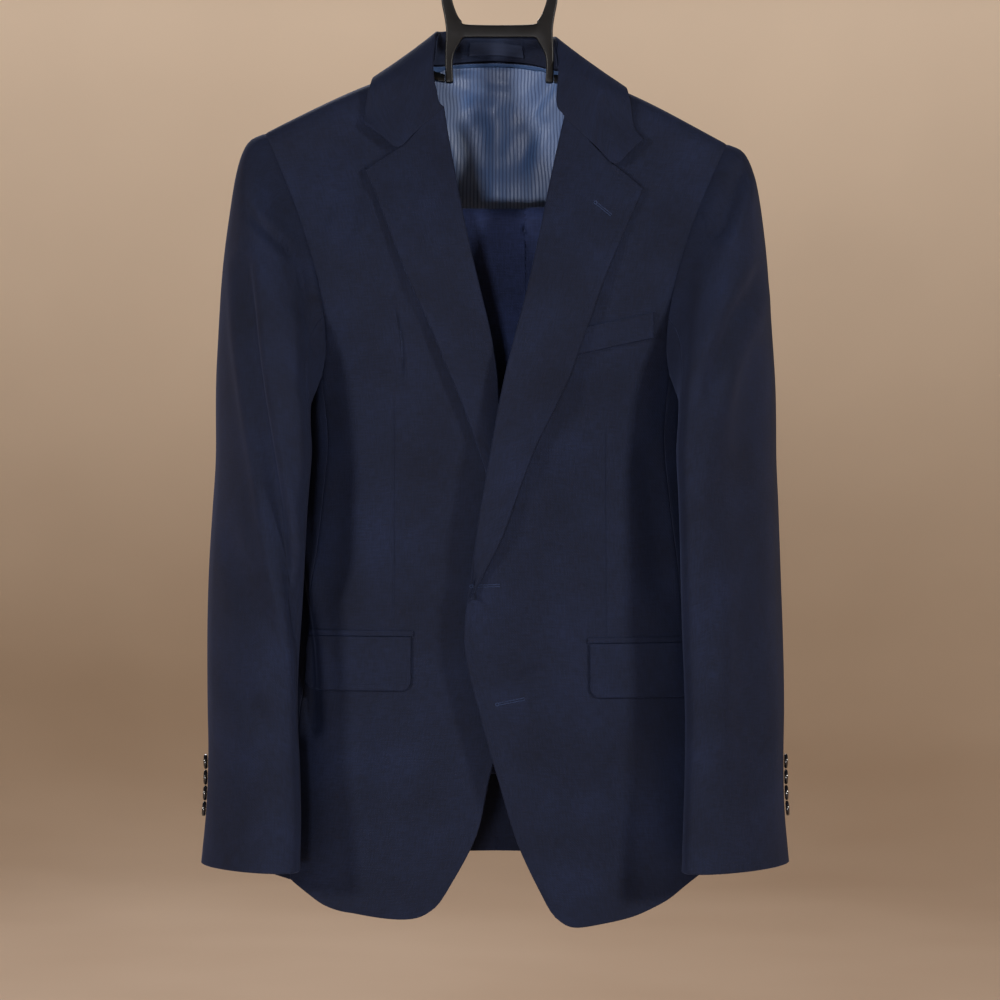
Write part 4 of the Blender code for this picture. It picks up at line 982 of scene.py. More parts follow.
stand = smoothed(wall_grid("collar_stand", (1, 0, 0), (0, 0, 1), AFT))
back = smoothed(wall_grid("back_lining", DOWN, (1, 0, 0), AFT))
tape = smoothed(wall_grid("neck_label", DOWN, (1, 0, 0), AFT), LABEL_CELL)
INSIDE = (
    {"name": "collar_stand", "grid": stand, "finishes": (COLLAR_FELT,), "thickness": STAND_WALL},
    {"name": "back_lining", "grid": back, "finishes": (SATIN,), "thickness": LINING_WALL,
     "slot": "satin_lining", "extra": lining_press(back), "rests_on": ("back_left", "back_right")},
    {"name": "neck_label", "grid": tape, "finishes": (LABEL,), "thickness": LABEL_WALL,
     "slot": "woven_label", "rims": {"left": 0.0002, "right": 0.0002}, "held": "laid",
     "rests_on": ("collar_stand",)},
)
for piece in INSIDE:
    sew([{**piece, "outward": AFT, "creased": False}])
# Below that height the lining and the backs' inner faces take the navy cloth. This is a hem facing, and also
# painted shade in the gap between the fronts.
CLOTH["back_lining"]["object"].data.materials.append(NAVY)
for name, index in (("back_lining", 1), ("back_left", 0), ("back_right", 0)):
    for polygon in CLOTH[name]["object"].data.polygons:
        if polygon.center.z < FACING_AND_SHADE_TOP:
            polygon.material_index = index

# %% [markdown]
# ## Pockets
# Below the waist each front has a jetted pocket: a slit bound with a narrow strip of cloth, and a
# flap that hangs from it with rounded corners. On the chest is a welt pocket, a folded band that
# stands over its slit and is stitched down at both ends. They are pressed together with the front
# they lie on, so they share its creases.

# %% Flaps, jettings and welt
FLAP_INSET = 0.0050
FLAP_CURVE = 0.009
FLAP_WALL, JETTING_WALL, WELT_WALL = 0.0016, 0.0011, 0.0017
WELT_INSET, FLAP_RIM = 0.0035, 0.0005
FINE = 0.003  # the cell of small pieces


def rounded_flap(grid):
    """Gives the flap's two lower corners their quarter rounds."""
    across = border_runs(grid)
    near = np.minimum(np.minimum(across["left"][:1], across["right"][:1]), FLAP_CURVE)
    rise = FLAP_CURVE - np.sqrt(FLAP_CURVE**2 - (FLAP_CURVE - near) ** 2)
    height = run_along(grid, 0)[-1:]
    stretch = (height.max() - rise) / height
    return grid[:1] + (grid - grid[:1]) * stretch[..., None]


def flap_columns(grid):
    """Columns closer together at both ends, where the corners are."""
    last = grid.shape[1] - 1
    ends = np.linspace(0, 0.85, 14) ** 1.3
    places = sorted({*ends, *(last - ends), *np.linspace(0.9, last - 0.9, 24)})
    rows = spline_weights(grid.shape[0], places_along(axis_lengths(grid, 0), FINE))
    return np.einsum("ar,rck,bc->abk", rows, grid, spline_weights(last + 1, places))


pockets = []
for side, sign in SIDES.items():
    flap, jetting = (wall_grid(f"pocket_{kind}_{side}", DOWN, (sign, 0, 0), FORE)
                     for kind in ("flap", "jetting"))
    pockets += [
        {"name": f"pocket_flap_{side}", "grid": rounded_flap(flap_columns(flap)), "thickness": FLAP_WALL,
         "grooves": {"left": FLAP_INSET, "bottom": FLAP_INSET}, "rims": {"left": FLAP_RIM, "bottom": FLAP_RIM},
         "rests_on": (f"front_{side}",)},
        {"name": f"pocket_jetting_{side}", "grid": smoothed(jetting, FINE), "thickness": JETTING_WALL,
         "seams": ("top", "bottom"), "rests_on": (f"front_{side}",)},
    ]
welt = smoothed(wall_grid("chest_welt", DOWN, (1, 0, 0), FORE), FINE)
pockets.append({"name": "chest_welt", "grid": welt, "thickness": WELT_WALL, "rests_on": ("front_left",),
                "grooves": {"right": WELT_INSET, "left": WELT_INSET}, "rims": {"top": FLAP_RIM}})
for piece in pockets:
    sew([{**piece, "outward": FORE, "finishes": (NAVY,), "held": "laid"}])

# %% [markdown]
# ## Trousers over the bar
# The trousers hang over the bar with their legs together, pressed flat on their creases: each leg
# is a tube of cloth two layers thick, and the outer leg wraps round the inner one. A trouser leg
# has a front and a back piece, whose two seams run down the middle of the pressed tube. The size of
# each tube is read from the frame, row by row, and its section is drawn again with a sharp crease.

# %% Trouser legs
TUBE = 0.0038  # a leg pressed flat: two cloths and a little air
TROUSER_WALL = 0.0011
ROW_STEP = 0.006
LEG_GAP = 0.0004  # between the bar and the inner leg, and between the legs
WAIST_SHIFT, WAIST_SPAN = 0.0107, 0.46  # the seams come in towards the waist, over this height
bar_low, bar_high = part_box("trouser_bar")
bar_y = (bar_low[1] + bar_high[1]) / 2
bar_radius = (bar_high[1] - bar_low[1]) / 2
bar_z = bar_low[2] + bar_radius


def leg_widths(name, sign):
    """How far a pressed leg reaches to one side, on the front run and on the back run, by height."""
    runs = {}
    work = merged(name)
    for run, facing in (("front", -1), ("back", 1)):
        rows = {}
        for vertex in work.verts:
            if (vertex.co.y - bar_y) * facing > 0 and vertex.co.z < bar_z - 0.001:
                key = round(vertex.co.z, 3)
                rows[key] = max(rows.get(key, -1.0), vertex.co.x * sign)
        heights = sorted(rows)
        runs[run] = (heights, [rows[z] * sign for z in heights])
    work.free()
    return runs


def leg_middle(leg, z, run):
    """Where the two seams lie: on the line where the leg's two pieces meet."""
    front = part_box(f"trouser_{leg}_front")[1][0]
    return front if run == "front" else front - WAIST_SHIFT * eased((bar_z - z) / WAIST_SPAN)


def leg_section(middle, edge, base, sign):
    """Half of a pressed tube: from the upper seam round one crease and back to the lower seam."""
    depth, radius = TUBE, TUBE / 2
    length = abs(edge - middle) - radius
    flat = [length * share for share in np.linspace(0, 1, 22)]
    points = [(x, base + depth) for x in flat]
    for k in range(1, 8):
        angle = math.pi * k / 8
        points.append((length + radius * math.sin(angle) ** 0.8, base + radius * (1 + math.cos(angle))))
    points += [(x, base) for x in reversed(flat)]
    return [(middle + sign * x, height) for x, height in points]


def leg_rows():
    """The way over the bar, as (run, z or angle), from the hem at the front to the waist at the back."""
    front_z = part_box("trouser_left_front")[0][2]
    back_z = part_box("waistband")[1][2]
    rows = [("front", z) for z in np.arange(front_z, bar_z - ROW_STEP / 2, ROW_STEP)]
    rows += [("over", angle) for angle in np.linspace(0, 180, 25)]
    rows += [("back", z) for z in np.arange(bar_z - ROW_STEP, back_z, -ROW_STEP)] + [("back", back_z)]
    return rows


def leg_piece(leg, layer, panel, sign):
    """A trouser panel's grid, whose rows run over the bar and whose columns run round the pressed tube."""
    widths = leg_widths(f"trouser_{leg}_{panel}", sign)
    base = bar_radius + LEG_GAP + layer * (TUBE + LEG_GAP)
    grid = []
    for run, value in leg_rows():
        z = bar_z if run == "over" else value
        side = "back" if run == "back" or (run == "over" and value > 90) else "front"
        heights, reaches = widths[side]
        edge = float(np.interp(z, heights, reaches))
        row = []
        for x, height in leg_section(leg_middle(leg, z, side), edge, base, sign):
            if run == "over":
                angle = math.radians(value)
                row.append((x, bar_y - height * math.cos(angle), bar_z + height * math.sin(angle)))
            else:
                row.append((x, bar_y + (height if run == "back" else -height), z))
        grid.append(row)
    return np.array(grid)


print(len(leg_rows()), "rows over the bar")

# %% [markdown]
# The legs get the frame's size and their own light folds, and they are sewn along both seams.

# %% Pressed legs
TROUSER_FOLDS = (
    # (x, z) of its start, (x, z) of its end, half width, depth
    ((0.0040, -0.356), (0.0060, -0.470), 0.0045, 0.0012),
    ((-0.0060, -0.300), (-0.0100, -0.360), 0.0080, 0.0005),
    ((0.0140, -0.330), (0.0130, -0.470), 0.0050, 0.0005),
)


def trouser_press(grid):
    """A soft valley between the creases, on the side that faces the front."""
    moved = hand(grid) * 0.25
    front = (grid[..., 1] < bar_y - bar_radius - TUBE).astype(float)
    for start, end, width, depth in TROUSER_FOLDS:
        distance, share = along_path(grid[..., (0, 2)], start, end)
        moved -= depth * np.exp(-((distance / width) ** 2)) * faded(share, 4, 3, 0.2) * front
    return moved


legs = []
for layer, leg in enumerate(("left", "right")):
    for panel, sign in (("front", -1), ("back", 1)):
        grid = leg_piece(leg, layer, panel, sign)
        legs.append({
            "name": f"trouser_{leg}_{panel}",
            "grid": grid,
            "outward": (0, 0, 1),
            "finishes": (TROUSER_NAVY,),
            "slot": "trouser_worsted",
            "thickness": TROUSER_WALL,
            "seams": ("left", "right"),
            "rims": {"top": CUT_RIM},
            "creased": False,
            "extra": trouser_press(grid) if layer else 0.0,
            "held": "folded",
            "rests_on": ("trouser_bar",),
        })
sew(legs)

# %% [markdown]
# The waistband is a doubled strip that closes the tops of both legs. It hangs upside down at the
# back, and it is wrapped round both tubes.

# %% Waistband
BAND_WALL, BAND_INSET, BAND_RIM = 0.0014, 0.0025, 0.0005
band_low, band_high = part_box("waistband")
band_middle = leg_middle("left", band_high[2], "back")
band_front = bar_y + bar_radius + LEG_GAP
band_depth = band_high[1] - band_front
length = band_high[0] - band_middle - band_depth / 2
reach = band_middle - band_low[0]
flat = [length * share - reach * (1 - share) for share in np.linspace(0, 1, 44)]
turn = [math.pi * k / 10 for k in range(1, 10)]
section = [(x, band_depth) for x in flat]
section += [(length + band_depth / 2 * math.sin(a), band_depth / 2 * (1 + math.cos(a))) for a in turn]
section += [(x, 0.0) for x in reversed(flat)]
band = [[(band_middle + x, band_front + y, z) for x, y in section]
        for z in np.linspace(band_high[2], band_low[2], 9)]
sew([{"name": "waistband", "grid": np.array(band), "outward": AFT, "finishes": (TROUSER_NAVY,),
      "slot": "trouser_worsted", "thickness": BAND_WALL, "grooves": {"top": BAND_INSET, "bottom": BAND_INSET},
      "rims": {"top": CUT_RIM, "bottom": BAND_RIM}, "creased": False, "held": "folded",
      "rests_on": ("trouser_right_back",)}])

# %% [markdown]
# ## The hanger
# The hanger is injection moulded in one piece. Its flat neck frame has smooth outlines and rounded
# edges, so the frame's outline is read, run through with the same spline as the cloth, and given a
# quarter-round edge on both faces.

# %% Neck frame
EDGE_ROUND = 0.0014
FILLET = 0.0022
SHARP = 50  # degrees: an outline has a corner at a point only if it bends by more than this


def outlines(name):
    """The closed outlines of a flat plate's front, as lists of (x, z)."""
    work = merged(name)
    ahead = {}
    front = min(vertex.co.y for vertex in work.verts)
    for edge in work.edges:
        a, b = edge.verts
        flat = [abs(face.normal.y) > 0.9 for face in edge.link_faces]
        if abs(a.co.y - front) < NEAR and abs(b.co.y - front) < NEAR and flat.count(True) == 1:
            ahead.setdefault(a, []).append(b)
            ahead.setdefault(b, []).append(a)
    loops = []
    while ahead:
        path = [next(iter(ahead))]
        while True:
            onward = [vertex for vertex in ahead.pop(path[-1]) if vertex in ahead]
            if not onward:
                break
            path.append(onward[0])
        loops.append(np.array([(vertex.co.x, vertex.co.z) for vertex in path]))
    work.free()
    return sorted(loops, key=lambda loop: np.ptp(loop[:, 0]))


def rounded_outline(loop, steps=6):
    """A closed outline with its gentle bends run smoothly and its corners filleted."""
    before, after = loop - np.roll(loop, 1, axis=0), np.roll(loop, -1, axis=0) - loop
    corner = (unit(before) * unit(after)).sum(axis=1) < math.cos(math.radians(SHARP))
    points = []
    for i, here in enumerate(loop):
        following = (i + 1) % len(loop)
        there, beyond = loop[following], loop[(i + 2) % len(loop)]
        back = here - (there - here) if corner[i] else loop[i - 1]
        on = there + (there - here) if corner[following] else beyond
        share = FILLET / np.linalg.norm(there - here)
        low, high = share * corner[i], 1 - share * corner[following]
        for t in np.linspace(low, high, steps, endpoint=bool(corner[following])):
            weights = spline_weights(4, [1 + min(t, 0.9999)])[0]
            points.append(weights @ np.array([back, here, there, on]))
        if corner[following]:
            start, end = points[-1], there + unit(beyond - there) * FILLET
            for t in (0.25, 0.5, 0.75):
                points.append((1 - t) ** 2 * start + 2 * t * (1 - t) * there + t * t * end)
    return np.array(points)


def inset(loop, distance):
    """An outline moved in by a distance, whichever way round it runs."""
    along = unit(np.roll(loop, -1, axis=0) - np.roll(loop, 1, axis=0))
    return loop + np.stack([-along[:, 1], along[:, 0]], axis=1) * distance


def turns_left(loop):
    """Whether a closed outline runs anticlockwise."""
    after = np.roll(loop, -1, axis=0)
    return (loop[:, 0] * after[:, 1] - after[:, 0] * loop[:, 1]).sum() > 0


print("outlines of", [len(loop) for loop in outlines("hanger_neck")], "points")

# %% [markdown]
# Rings of points, one behind the other, round off the plate's edges, and two flat faces close it.

# %% The neck frame's plate
def add_object(name, points, faces, finish):
    """A mesh object with outward faces."""
    mesh = bpy.data.meshes.new(name)
    mesh.from_pydata([tuple(point) for point in points], [], faces)
    mesh.materials.append(finish)
    work = bmesh.new()
    work.from_mesh(mesh)
    bmesh.ops.recalc_face_normals(work, faces=work.faces)
    work.to_mesh(mesh)
    work.free()
    mesh.shade_smooth()
    return in_scene(name, mesh)


def band_faces(rings, around, start=0):
    """The quads between rings of points that follow each other in a list."""
    faces = []
    for r in range(rings - 1):
        for k in range(around):
            a, b = start + r * around + k, start + r * around + (k + 1) % around
            faces.append((a, b, b + around, a + around))
    return faces


def end_faces(first, last, around):
    """The two faces that close a tube, whose first and last rings start at these points."""
    return [tuple(range(start, start + around)) for start in (first, last)]


def ride_for(made, slot, *names):
    """Lets a piece stand in for the frame's nodes of those names."""
    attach(made, "root")
    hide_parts(*names)
    print(made.name, len(made.data.polygons), "faces")


neck_low, neck_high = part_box("hanger_neck")
half_depth = (neck_high[1] - neck_low[1]) / 2
hole, outer = outlines("hanger_neck")
plate_points, plate_faces, caps = [], [], []
quarter = [(EDGE_ROUND * (1 - math.cos(a)), half_depth - EDGE_ROUND * (1 - math.sin(a)))
           for a in (0, 0.52, 1.05, 1.57)]
profile = [(d, -y) for d, y in reversed(quarter)] + quarter
for loop, inwards in ((rounded_outline(outer), 1), (rounded_outline(hole), -1)):
    way = inwards if turns_left(loop) else -inwards
    rings = [[(x, y, z) for x, z in inset(loop, distance * way)] for distance, y in profile]
    start, size = len(plate_points), len(loop)
    plate_points += [point for ring in rings for point in ring]
    plate_faces += band_faces(len(rings), size, start)
    caps.append((start, start + (len(rings) - 1) * size, size))
cap_work = bmesh.new()
cap_points = [cap_work.verts.new(point) for point in plate_points]
cap_work.verts.index_update()
for side in (0, 1):
    edges = []
    for cap in caps:
        ring = [cap_points[cap[side] + k] for k in range(cap[2])]
        edges += [cap_work.edges.new((a, b)) for a, b in zip(ring, ring[1:] + ring[:1])]
    for face in bmesh.ops.triangle_fill(cap_work, use_beauty=True, edges=edges)["geom"]:
        if isinstance(face, bmesh.types.BMFace):
            plate_faces.append(tuple(vertex.index for vertex in face.verts))
cap_work.free()
ride_for(add_object("moulded_neck", plate_points, plate_faces, PLASTIC), "hanger_plastic", "hanger_neck")

# %% [markdown]
# The hook and the trouser bar are round rods, swept along a smooth line through the middle of the
# frame's rods and domed at their ends. The shoulders keep the frame's form and get rounded edges.

# %% Hook, bar and shoulders
ROD_SIDES = 20
DOME = (0.5, 1.0, 1.4)  # angles at which a rod's domed end has its rings
ROD_POINT = 0.0034  # points of one ring of a rod's top lie closer than this
ARM_ROUND = 0.0010


def centre_line(name, start):
    """The middle line of a bent rod in an upright plane, from the end nearest to start."""
    work = merged(name)
    top = max(vertex.co.y for vertex in work.verts)
    middle = (top + min(vertex.co.y for vertex in work.verts)) / 2
    reach = top - middle
    high = [np.array((v.co.x, v.co.z)) for v in work.verts if v.co.y > top - 0.12 * reach]
    work.free()
    spots = []
    while high:
        group = [spot for spot in high if np.linalg.norm(spot - high[0]) < ROD_POINT]
        high = [spot for spot in high if np.linalg.norm(spot - group[0]) >= ROD_POINT]
        spots.append(sum(group) / len(group))
    path = [min(spots, key=lambda spot: np.linalg.norm(spot - np.array(start)))]
    while len(path) < len(spots):
        left = [spot for spot in spots if not any(spot is done for done in path)]
        path.append(min(left, key=lambda spot: np.linalg.norm(spot - path[-1])))
    return np.array([(x, middle, z) for x, z in path]), reach


def swept(name, path, radius, step):
    """A round plastic rod along a smooth line, with domed ends."""
    places = [float(len(path) - 1)]
    for i, length in enumerate(np.linalg.norm(np.diff(path, axis=0), axis=1)):
        parts = max(1, round(length / step))
        places += [i + k / parts for k in range(parts)]
    line = spline_weights(len(path), sorted(places)) @ path
    along = unit(np.gradient(line, axis=0))
    across = np.cross(along, (0.0, 1.0, 0.0))
    rings = [(centre, radius, lean) for centre, lean in zip(line, across)]
    for angle in DOME:
        rise, size = radius * math.sin(angle), radius * math.cos(angle)
        rings.insert(0, (line[0] - along[0] * rise, size, across[0]))
        rings.append((line[-1] + along[-1] * rise, size, across[-1]))
    points = []
    for centre, size, lean in rings:
        for angle in np.arange(ROD_SIDES) * 2 * math.pi / ROD_SIDES:
            points.append(centre + size * (lean * math.cos(angle) + np.array((0, math.sin(angle), 0))))
    faces = band_faces(len(rings), ROD_SIDES) + end_faces(0, len(points) - ROD_SIDES, ROD_SIDES)
    return add_object(name, points, faces, PLASTIC)


hook_path, hook_radius = centre_line("hanger_hook", (0.0, -0.0557))
ride_for(swept("moulded_hook", hook_path, hook_radius, 0.002), "hanger_plastic", "hanger_hook")
bar_path, _ = centre_line("trouser_bar", (0.150, bar_high[2]))
ride_for(swept("moulded_bar", bar_path, bar_radius, 0.006), "hanger_plastic", "trouser_bar")
for side in SIDES:
    name = f"hanger_shoulder_{side}"
    work = merged(name)
    bmesh.ops.join_triangles(work, faces=work.faces, angle_face_threshold=0.3, angle_shape_threshold=0.8)
    mesh = bpy.data.meshes.new(f"moulded_shoulder_{side}")
    work.to_mesh(mesh)
    work.free()
    mesh.materials.append(PLASTIC)
    mesh.shade_smooth()
    arm = in_scene(mesh.name, mesh)
    rounding = arm.modifiers.new("moulded edge", "BEVEL")
    rounding.width, rounding.segments, rounding.limit_method = ARM_ROUND, 3, "ANGLE"
    ride_for(arm, "hanger_plastic", name)

# %% [markdown]
# ## Buttons
# Each button is turned from a cast blank: a raised rim, a shallow dish, and four holes drilled for
# the thread. One is made for the fronts and one for the cuffs, and copies are set where the frame
# has its plain discs, facing the same way. The holes are cut with a Boolean, which is then applied.

# %% Turned buttons
BUTTON_TURNS, HOLE_TURNS = 40, 14
BUTTON_PROFILE = (
    # shares of the radius and of the depth, from the dish over the rim to the back
    (0.52, 0.62), (0.64, 0.70), (0.74, 0.92), (0.84, 1.0), (0.93, 0.94),
    (0.985, 0.74), (1.0, 0.50), (0.97, 0.24), (0.86, 0.06), (0.72, 0.0),
)
HOLE_PLACE, HOLE_SIZE = 0.17, 0.085  # shares of the button's radius


def level_ring(radius, z, turns, x=0.0, y=0.0):
    """A level ring of points round (x, y)."""
    angles = np.arange(turns) * 2 * math.pi / turns
    return [(x + radius * math.cos(angle), y + radius * math.sin(angle), z) for angle in angles]


def turned_button(radius, depth):
    """The mesh of a four-hole button, its face towards +Z and its back at z = 0."""
    points = []
    for share, height in BUTTON_PROFILE:
        points += level_ring(radius * share, depth * height, BUTTON_TURNS)
    faces = band_faces(len(BUTTON_PROFILE), BUTTON_TURNS)
    faces += end_faces(0, len(points) - BUTTON_TURNS, BUTTON_TURNS)
    blank = add_object("blank", points, faces, HORN)
    points, faces = [], []
    away = radius * HOLE_PLACE
    for x, y in ((away, away), (away, -away), (-away, away), (-away, -away)):
        first = len(points)
        for z in (-depth, depth * 2):
            points += level_ring(radius * HOLE_SIZE, z, HOLE_TURNS, x, y)
        faces += band_faces(2, HOLE_TURNS, first) + end_faces(first, first + HOLE_TURNS, HOLE_TURNS)
    drills = add_object("drills", points, faces, HORN)
    cut = blank.modifiers.new("holes", "BOOLEAN")
    cut.operation, cut.object = "DIFFERENCE", drills
    mesh = bpy.data.meshes.new_from_object(blank.evaluated_get(bpy.context.evaluated_depsgraph_get()))
    for spare in (blank, drills):
        bpy.data.objects.remove(spare)
    return mesh


def node_axis(name, outward):
    """A plain disc's centre, the direction that its face looks in, and its points from the centre."""
    work = merged(name)
    spots = np.array([vertex.co[:] for vertex in work.verts])
    work.free()
    centre = spots.mean(axis=0)
    axis = np.linalg.svd(spots - centre)[2][-1]
    return centre, axis * (1 if axis @ np.array(outward) > 0 else -1), spots - centre


BUTTONS = {}
NEEDLE_MARKS = []
button_names = {name: FORE for name in ("front_button_upper", "front_button_lower")}
for side, sign in SIDES.items():
    button_names.update({f"cuff_button_{side}_{k}": (sign, 0, 0) for k in range(1, 5)})
for name, outward in button_names.items():
    centre, axis, spots = node_axis(name, outward)
    depth = float(np.ptp(spots @ axis))
    radius = float(np.linalg.norm(spots - np.outer(spots @ axis, axis), axis=1).max())
    size = round(radius, 4)
    if size not in BUTTONS:
        BUTTONS[size] = turned_button(radius, depth)
    mesh = BUTTONS[size].copy()
    side_way = unit(np.cross(axis, (0.0, 0.0, 1.0)))
    up = np.cross(side_way, axis)
    local = np.array([vertex.co[:] for vertex in mesh.vertices])
    placed = local @ np.stack([side_way, up, axis]) + centre - axis * depth / 2
    mesh.vertices.foreach_set("co", placed.ravel())
    mesh.shade_smooth()
    mesh.set_sharp_from_angle(angle=math.radians(35))
    mesh.name = f"turned_{name}"
    ride_for(in_scene(mesh.name, mesh), "horn_button", name)
    seat = centre + axis * (depth * 0.12 + 0.0003)
    for dy in (1, -1):
        NEEDLE_MARKS.append((seat + up * dy * radius * HOLE_PLACE, side_way))

# %% [markdown]
# ## Stitches
# Hand stitching shows as a row of tiny dimples along the edges of lapels, collar and pockets, each
# a bead of thread two millimetres long. They are set out as points with an aim, and a node tree
# puts one short bead of thread on every point. The same tree, with other sizes, works the two
# buttonholes, the one in the lapel, the tacks at the pockets and label, and the thread in the
# buttons.

# %% The stitch tree
PICK = 0.0046  # from one pick stitch to the next


def stitch_tree():
    """Puts a bead of thread, long in its aim's direction, on every point of a mesh."""
    tree = bpy.data.node_groups.new("stitches along a seam", "GeometryNodeTree")
    face = tree.interface
    face.new_socket("Geometry", in_out="INPUT", socket_type="NodeSocketGeometry")
    for label, value in (("Length", 0.002), ("Thickness", 0.0005)):
        socket = face.new_socket(label, in_out="INPUT", socket_type="NodeSocketFloat")
        socket.default_value = value
    face.new_socket("Thread", in_out="INPUT", socket_type="NodeSocketMaterial")
    face.new_socket("Geometry", in_out="OUTPUT", socket_type="NodeSocketGeometry")
    given = add(tree, "NodeGroupInput").outputs
    thick = given["Thickness"]
    size = add(tree, "ShaderNodeCombineXYZ", {0: thick, 1: thick, 2: given["Length"]})
    bead = add(tree, "GeometryNodeMeshUVSphere", {"Segments": 6, "Rings": 5, "Radius": 0.5})
    aim = add(tree, "GeometryNodeInputNamedAttribute", {"Name": "aim"}, data_type="FLOAT_VECTOR")
    turned = add(tree, "FunctionNodeAlignRotationToVector", {"Vector": aim.outputs["Attribute"]}, axis="Z")
    placed = add(tree, "GeometryNodeInstanceOnPoints",
                 {"Points": given["Geometry"], "Instance": bead, "Rotation": turned, "Scale": size})
    real = add(tree, "GeometryNodeRealizeInstances", {"Geometry": placed})
    finish = add(tree, "GeometryNodeSetMaterial", {"Geometry": real, "Material": given["Thread"]})
    add(tree, "NodeGroupOutput", {"Geometry": finish})
    return tree


STITCH_TREE = stitch_tree()


def stitched(name, spots, aims, length, thickness, thread):
    """A row of stitches as one piece of its own."""
    mesh = bpy.data.meshes.new(name)
    mesh.from_pydata([tuple(spot) for spot in spots], [], [])
    mesh.attributes.new("aim", "FLOAT_VECTOR", "POINT").data.foreach_set("vector", np.array(aims).ravel())
    made = in_scene(name, mesh)
    worked = made.modifiers.new("stitches", "NODES")
    worked.node_group = STITCH_TREE
    keys = {item.name: item.identifier for item in STITCH_TREE.interface.items_tree if item.in_out == "INPUT"}
    worked[keys["Length"]], worked[keys["Thickness"]], worked[keys["Thread"]] = length, thickness, thread
    beads = bpy.data.meshes.new_from_object(made.evaluated_get(bpy.context.evaluated_depsgraph_get()))
    made.modifiers.clear()
    made.data = beads
    beads.shade_smooth()
    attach(made, "root")
    print(name, len(spots), "stitches")

# %% [markdown]
# Pick stitches run a few millimetres inside the edges of the lapels, the collar, the flaps and the
# fronts below the roll.

# %% Rows of pick stitches
def edge_row(name, border, inset_by, start=0.0, end=1.0):
    """Stitches along a piece's border, at a distance inside it: their places and the ways they lie."""
    grid, normals = CLOTH[name]["grid"], CLOTH[name]["normals"]
    runs = border_runs(grid)[border]
    if border in ("top", "bottom"):
        grid, normals, runs = grid.swapaxes(0, 1), normals.swapaxes(0, 1), runs.T
    if border in ("right", "bottom"):
        grid, normals, runs = grid[:, ::-1], normals[:, ::-1], runs[:, ::-1]
    path = []
    for line, along in zip(grid, runs):
        place = float(np.interp(inset_by, along, range(len(along))))
        k = int(min(place, len(along) - 2))
        path.append([*(line[k] + (line[k + 1] - line[k]) * (place - k)), k])
    path = np.array(path)
    lean = normals[range(len(path)), path[:, 3].astype(int)]
    path = path[:, :3]
    length = np.concatenate([[0.0], np.cumsum(np.linalg.norm(np.diff(path, axis=0), axis=1))])
    marks = np.arange(length[-1] * start + PICK, length[-1] * end - PICK, PICK)
    spots, leans = (np.stack([np.interp(marks, length, values[:, k]) for k in range(3)], axis=1)
                    for values in (path, lean))
    return spots + unit(leans) * 0.00005, unit(np.gradient(spots, axis=0))


rows = []
for side in SIDES:
    rows.append(edge_row(f"lapel_{side}", "right", LEAF_INSET, 0.0, 0.97))
    rows.append(edge_row(f"front_{side}", "left", EDGE_INSET, 0.62, 1.0))
    rows.append(edge_row(f"pocket_flap_{side}", "bottom", FLAP_INSET))
rows.append(edge_row("collar_fall", "right", LEAF_INSET))
spots, aims = (np.concatenate(parts) for parts in zip(*rows))
stitched("pick_stitches", spots, aims, 0.0016, 0.00034, THREAD_NAVY)

# %% [markdown]
# A buttonhole is worked over a gimp with close, thick stitches across its slit, so it stands up
# from the cloth as a narrow ridged ring, with an eye at the end that takes the button's shank.

# %% Buttonholes, tacks and button thread
HOLES = (
    # the piece it is cut in, (x, z) of its eye, (x, z) of its other end
    ("front_left", (-0.0240, -0.6090), (-0.0005, -0.6085)),
    ("front_left", (-0.0020, -0.7110), (0.0212, -0.7066)),
    ("lapel_left", (0.0838, -0.2752), (0.0972, -0.2862)),
)
TACKS = (
    ("chest_welt", (0.1335, -0.3730), (0.1335, -0.3900)),
    ("neck_label", (-0.0285, -0.1190), (-0.0285, -0.1290)),
    ("neck_label", (0.0215, -0.1190), (0.0215, -0.1290)),
)
TWIST = 0.0006  # from one stitch of a buttonhole to the next
EYE_START, SLIT_HALF, EYE_RADIUS, PROUD = 0.0012, 0.0009, 0.0013, 0.0002


def on_cloth(name, spot):
    """The point of a piece straight behind (x, z), and its normal."""
    grid, normals = (CLOTH[name][key].reshape(-1, 3) for key in ("grid", "normals"))
    distance = np.hypot(grid[:, 0] - spot[0], grid[:, 2] - spot[1])
    nearest = np.argsort(distance)[:4]
    weights = 1 / (distance[nearest] + 1e-5)
    y = (grid[nearest, 1] * weights).sum() / weights.sum()
    return np.array((spot[0], y, spot[1])), normals[nearest[0]]


def worked_hole(eye, end):
    """Stitches round a slit: along both its sides and round its eye, as (place, way it lies)."""
    eye, end = np.array(eye), np.array(end)
    along = unit(end - eye)
    across = np.array((-along[1], along[0]))
    marks = []
    for k in range(int(np.linalg.norm(end - eye) / TWIST)):
        here = eye + along * (EYE_START + k * TWIST)
        marks += [(here + across * way * SLIT_HALF, across) for way in (1, -1)]
    for angle in np.arange(16) * math.pi / 8:
        ring = along * math.cos(angle) + across * math.sin(angle)
        marks.append((eye + ring * EYE_RADIUS, ring))
    return marks


spots, aims = [], []
for name, eye, end in HOLES:
    for mark, way in worked_hole(eye, end):
        spot, normal = on_cloth(name, mark)
        spots.append(spot + normal * PROUD)
        aims.append((way[0], 0.0, way[1]))
stitched("worked_buttonholes", spots, aims, 0.0012, 0.0006, THREAD_PALE)
spots = []
for name, start, end in TACKS:
    for mark in np.linspace(start, end, 9):
        spot, normal = on_cloth(name, mark)
        # the label's face is its inner one
        spots.append(spot - normal * (LABEL_WALL + 0.0003) if name == "neck_label" else spot + normal * PROUD)
stitched("tacks", spots, [(1.0, 0.0, 0.3)] * len(spots), 0.0022, 0.00045, THREAD_NAVY)
seats, ways = zip(*NEEDLE_MARKS)
stitched("button_threads", seats, ways, 0.0036, 0.0010, THREAD_NAVY)
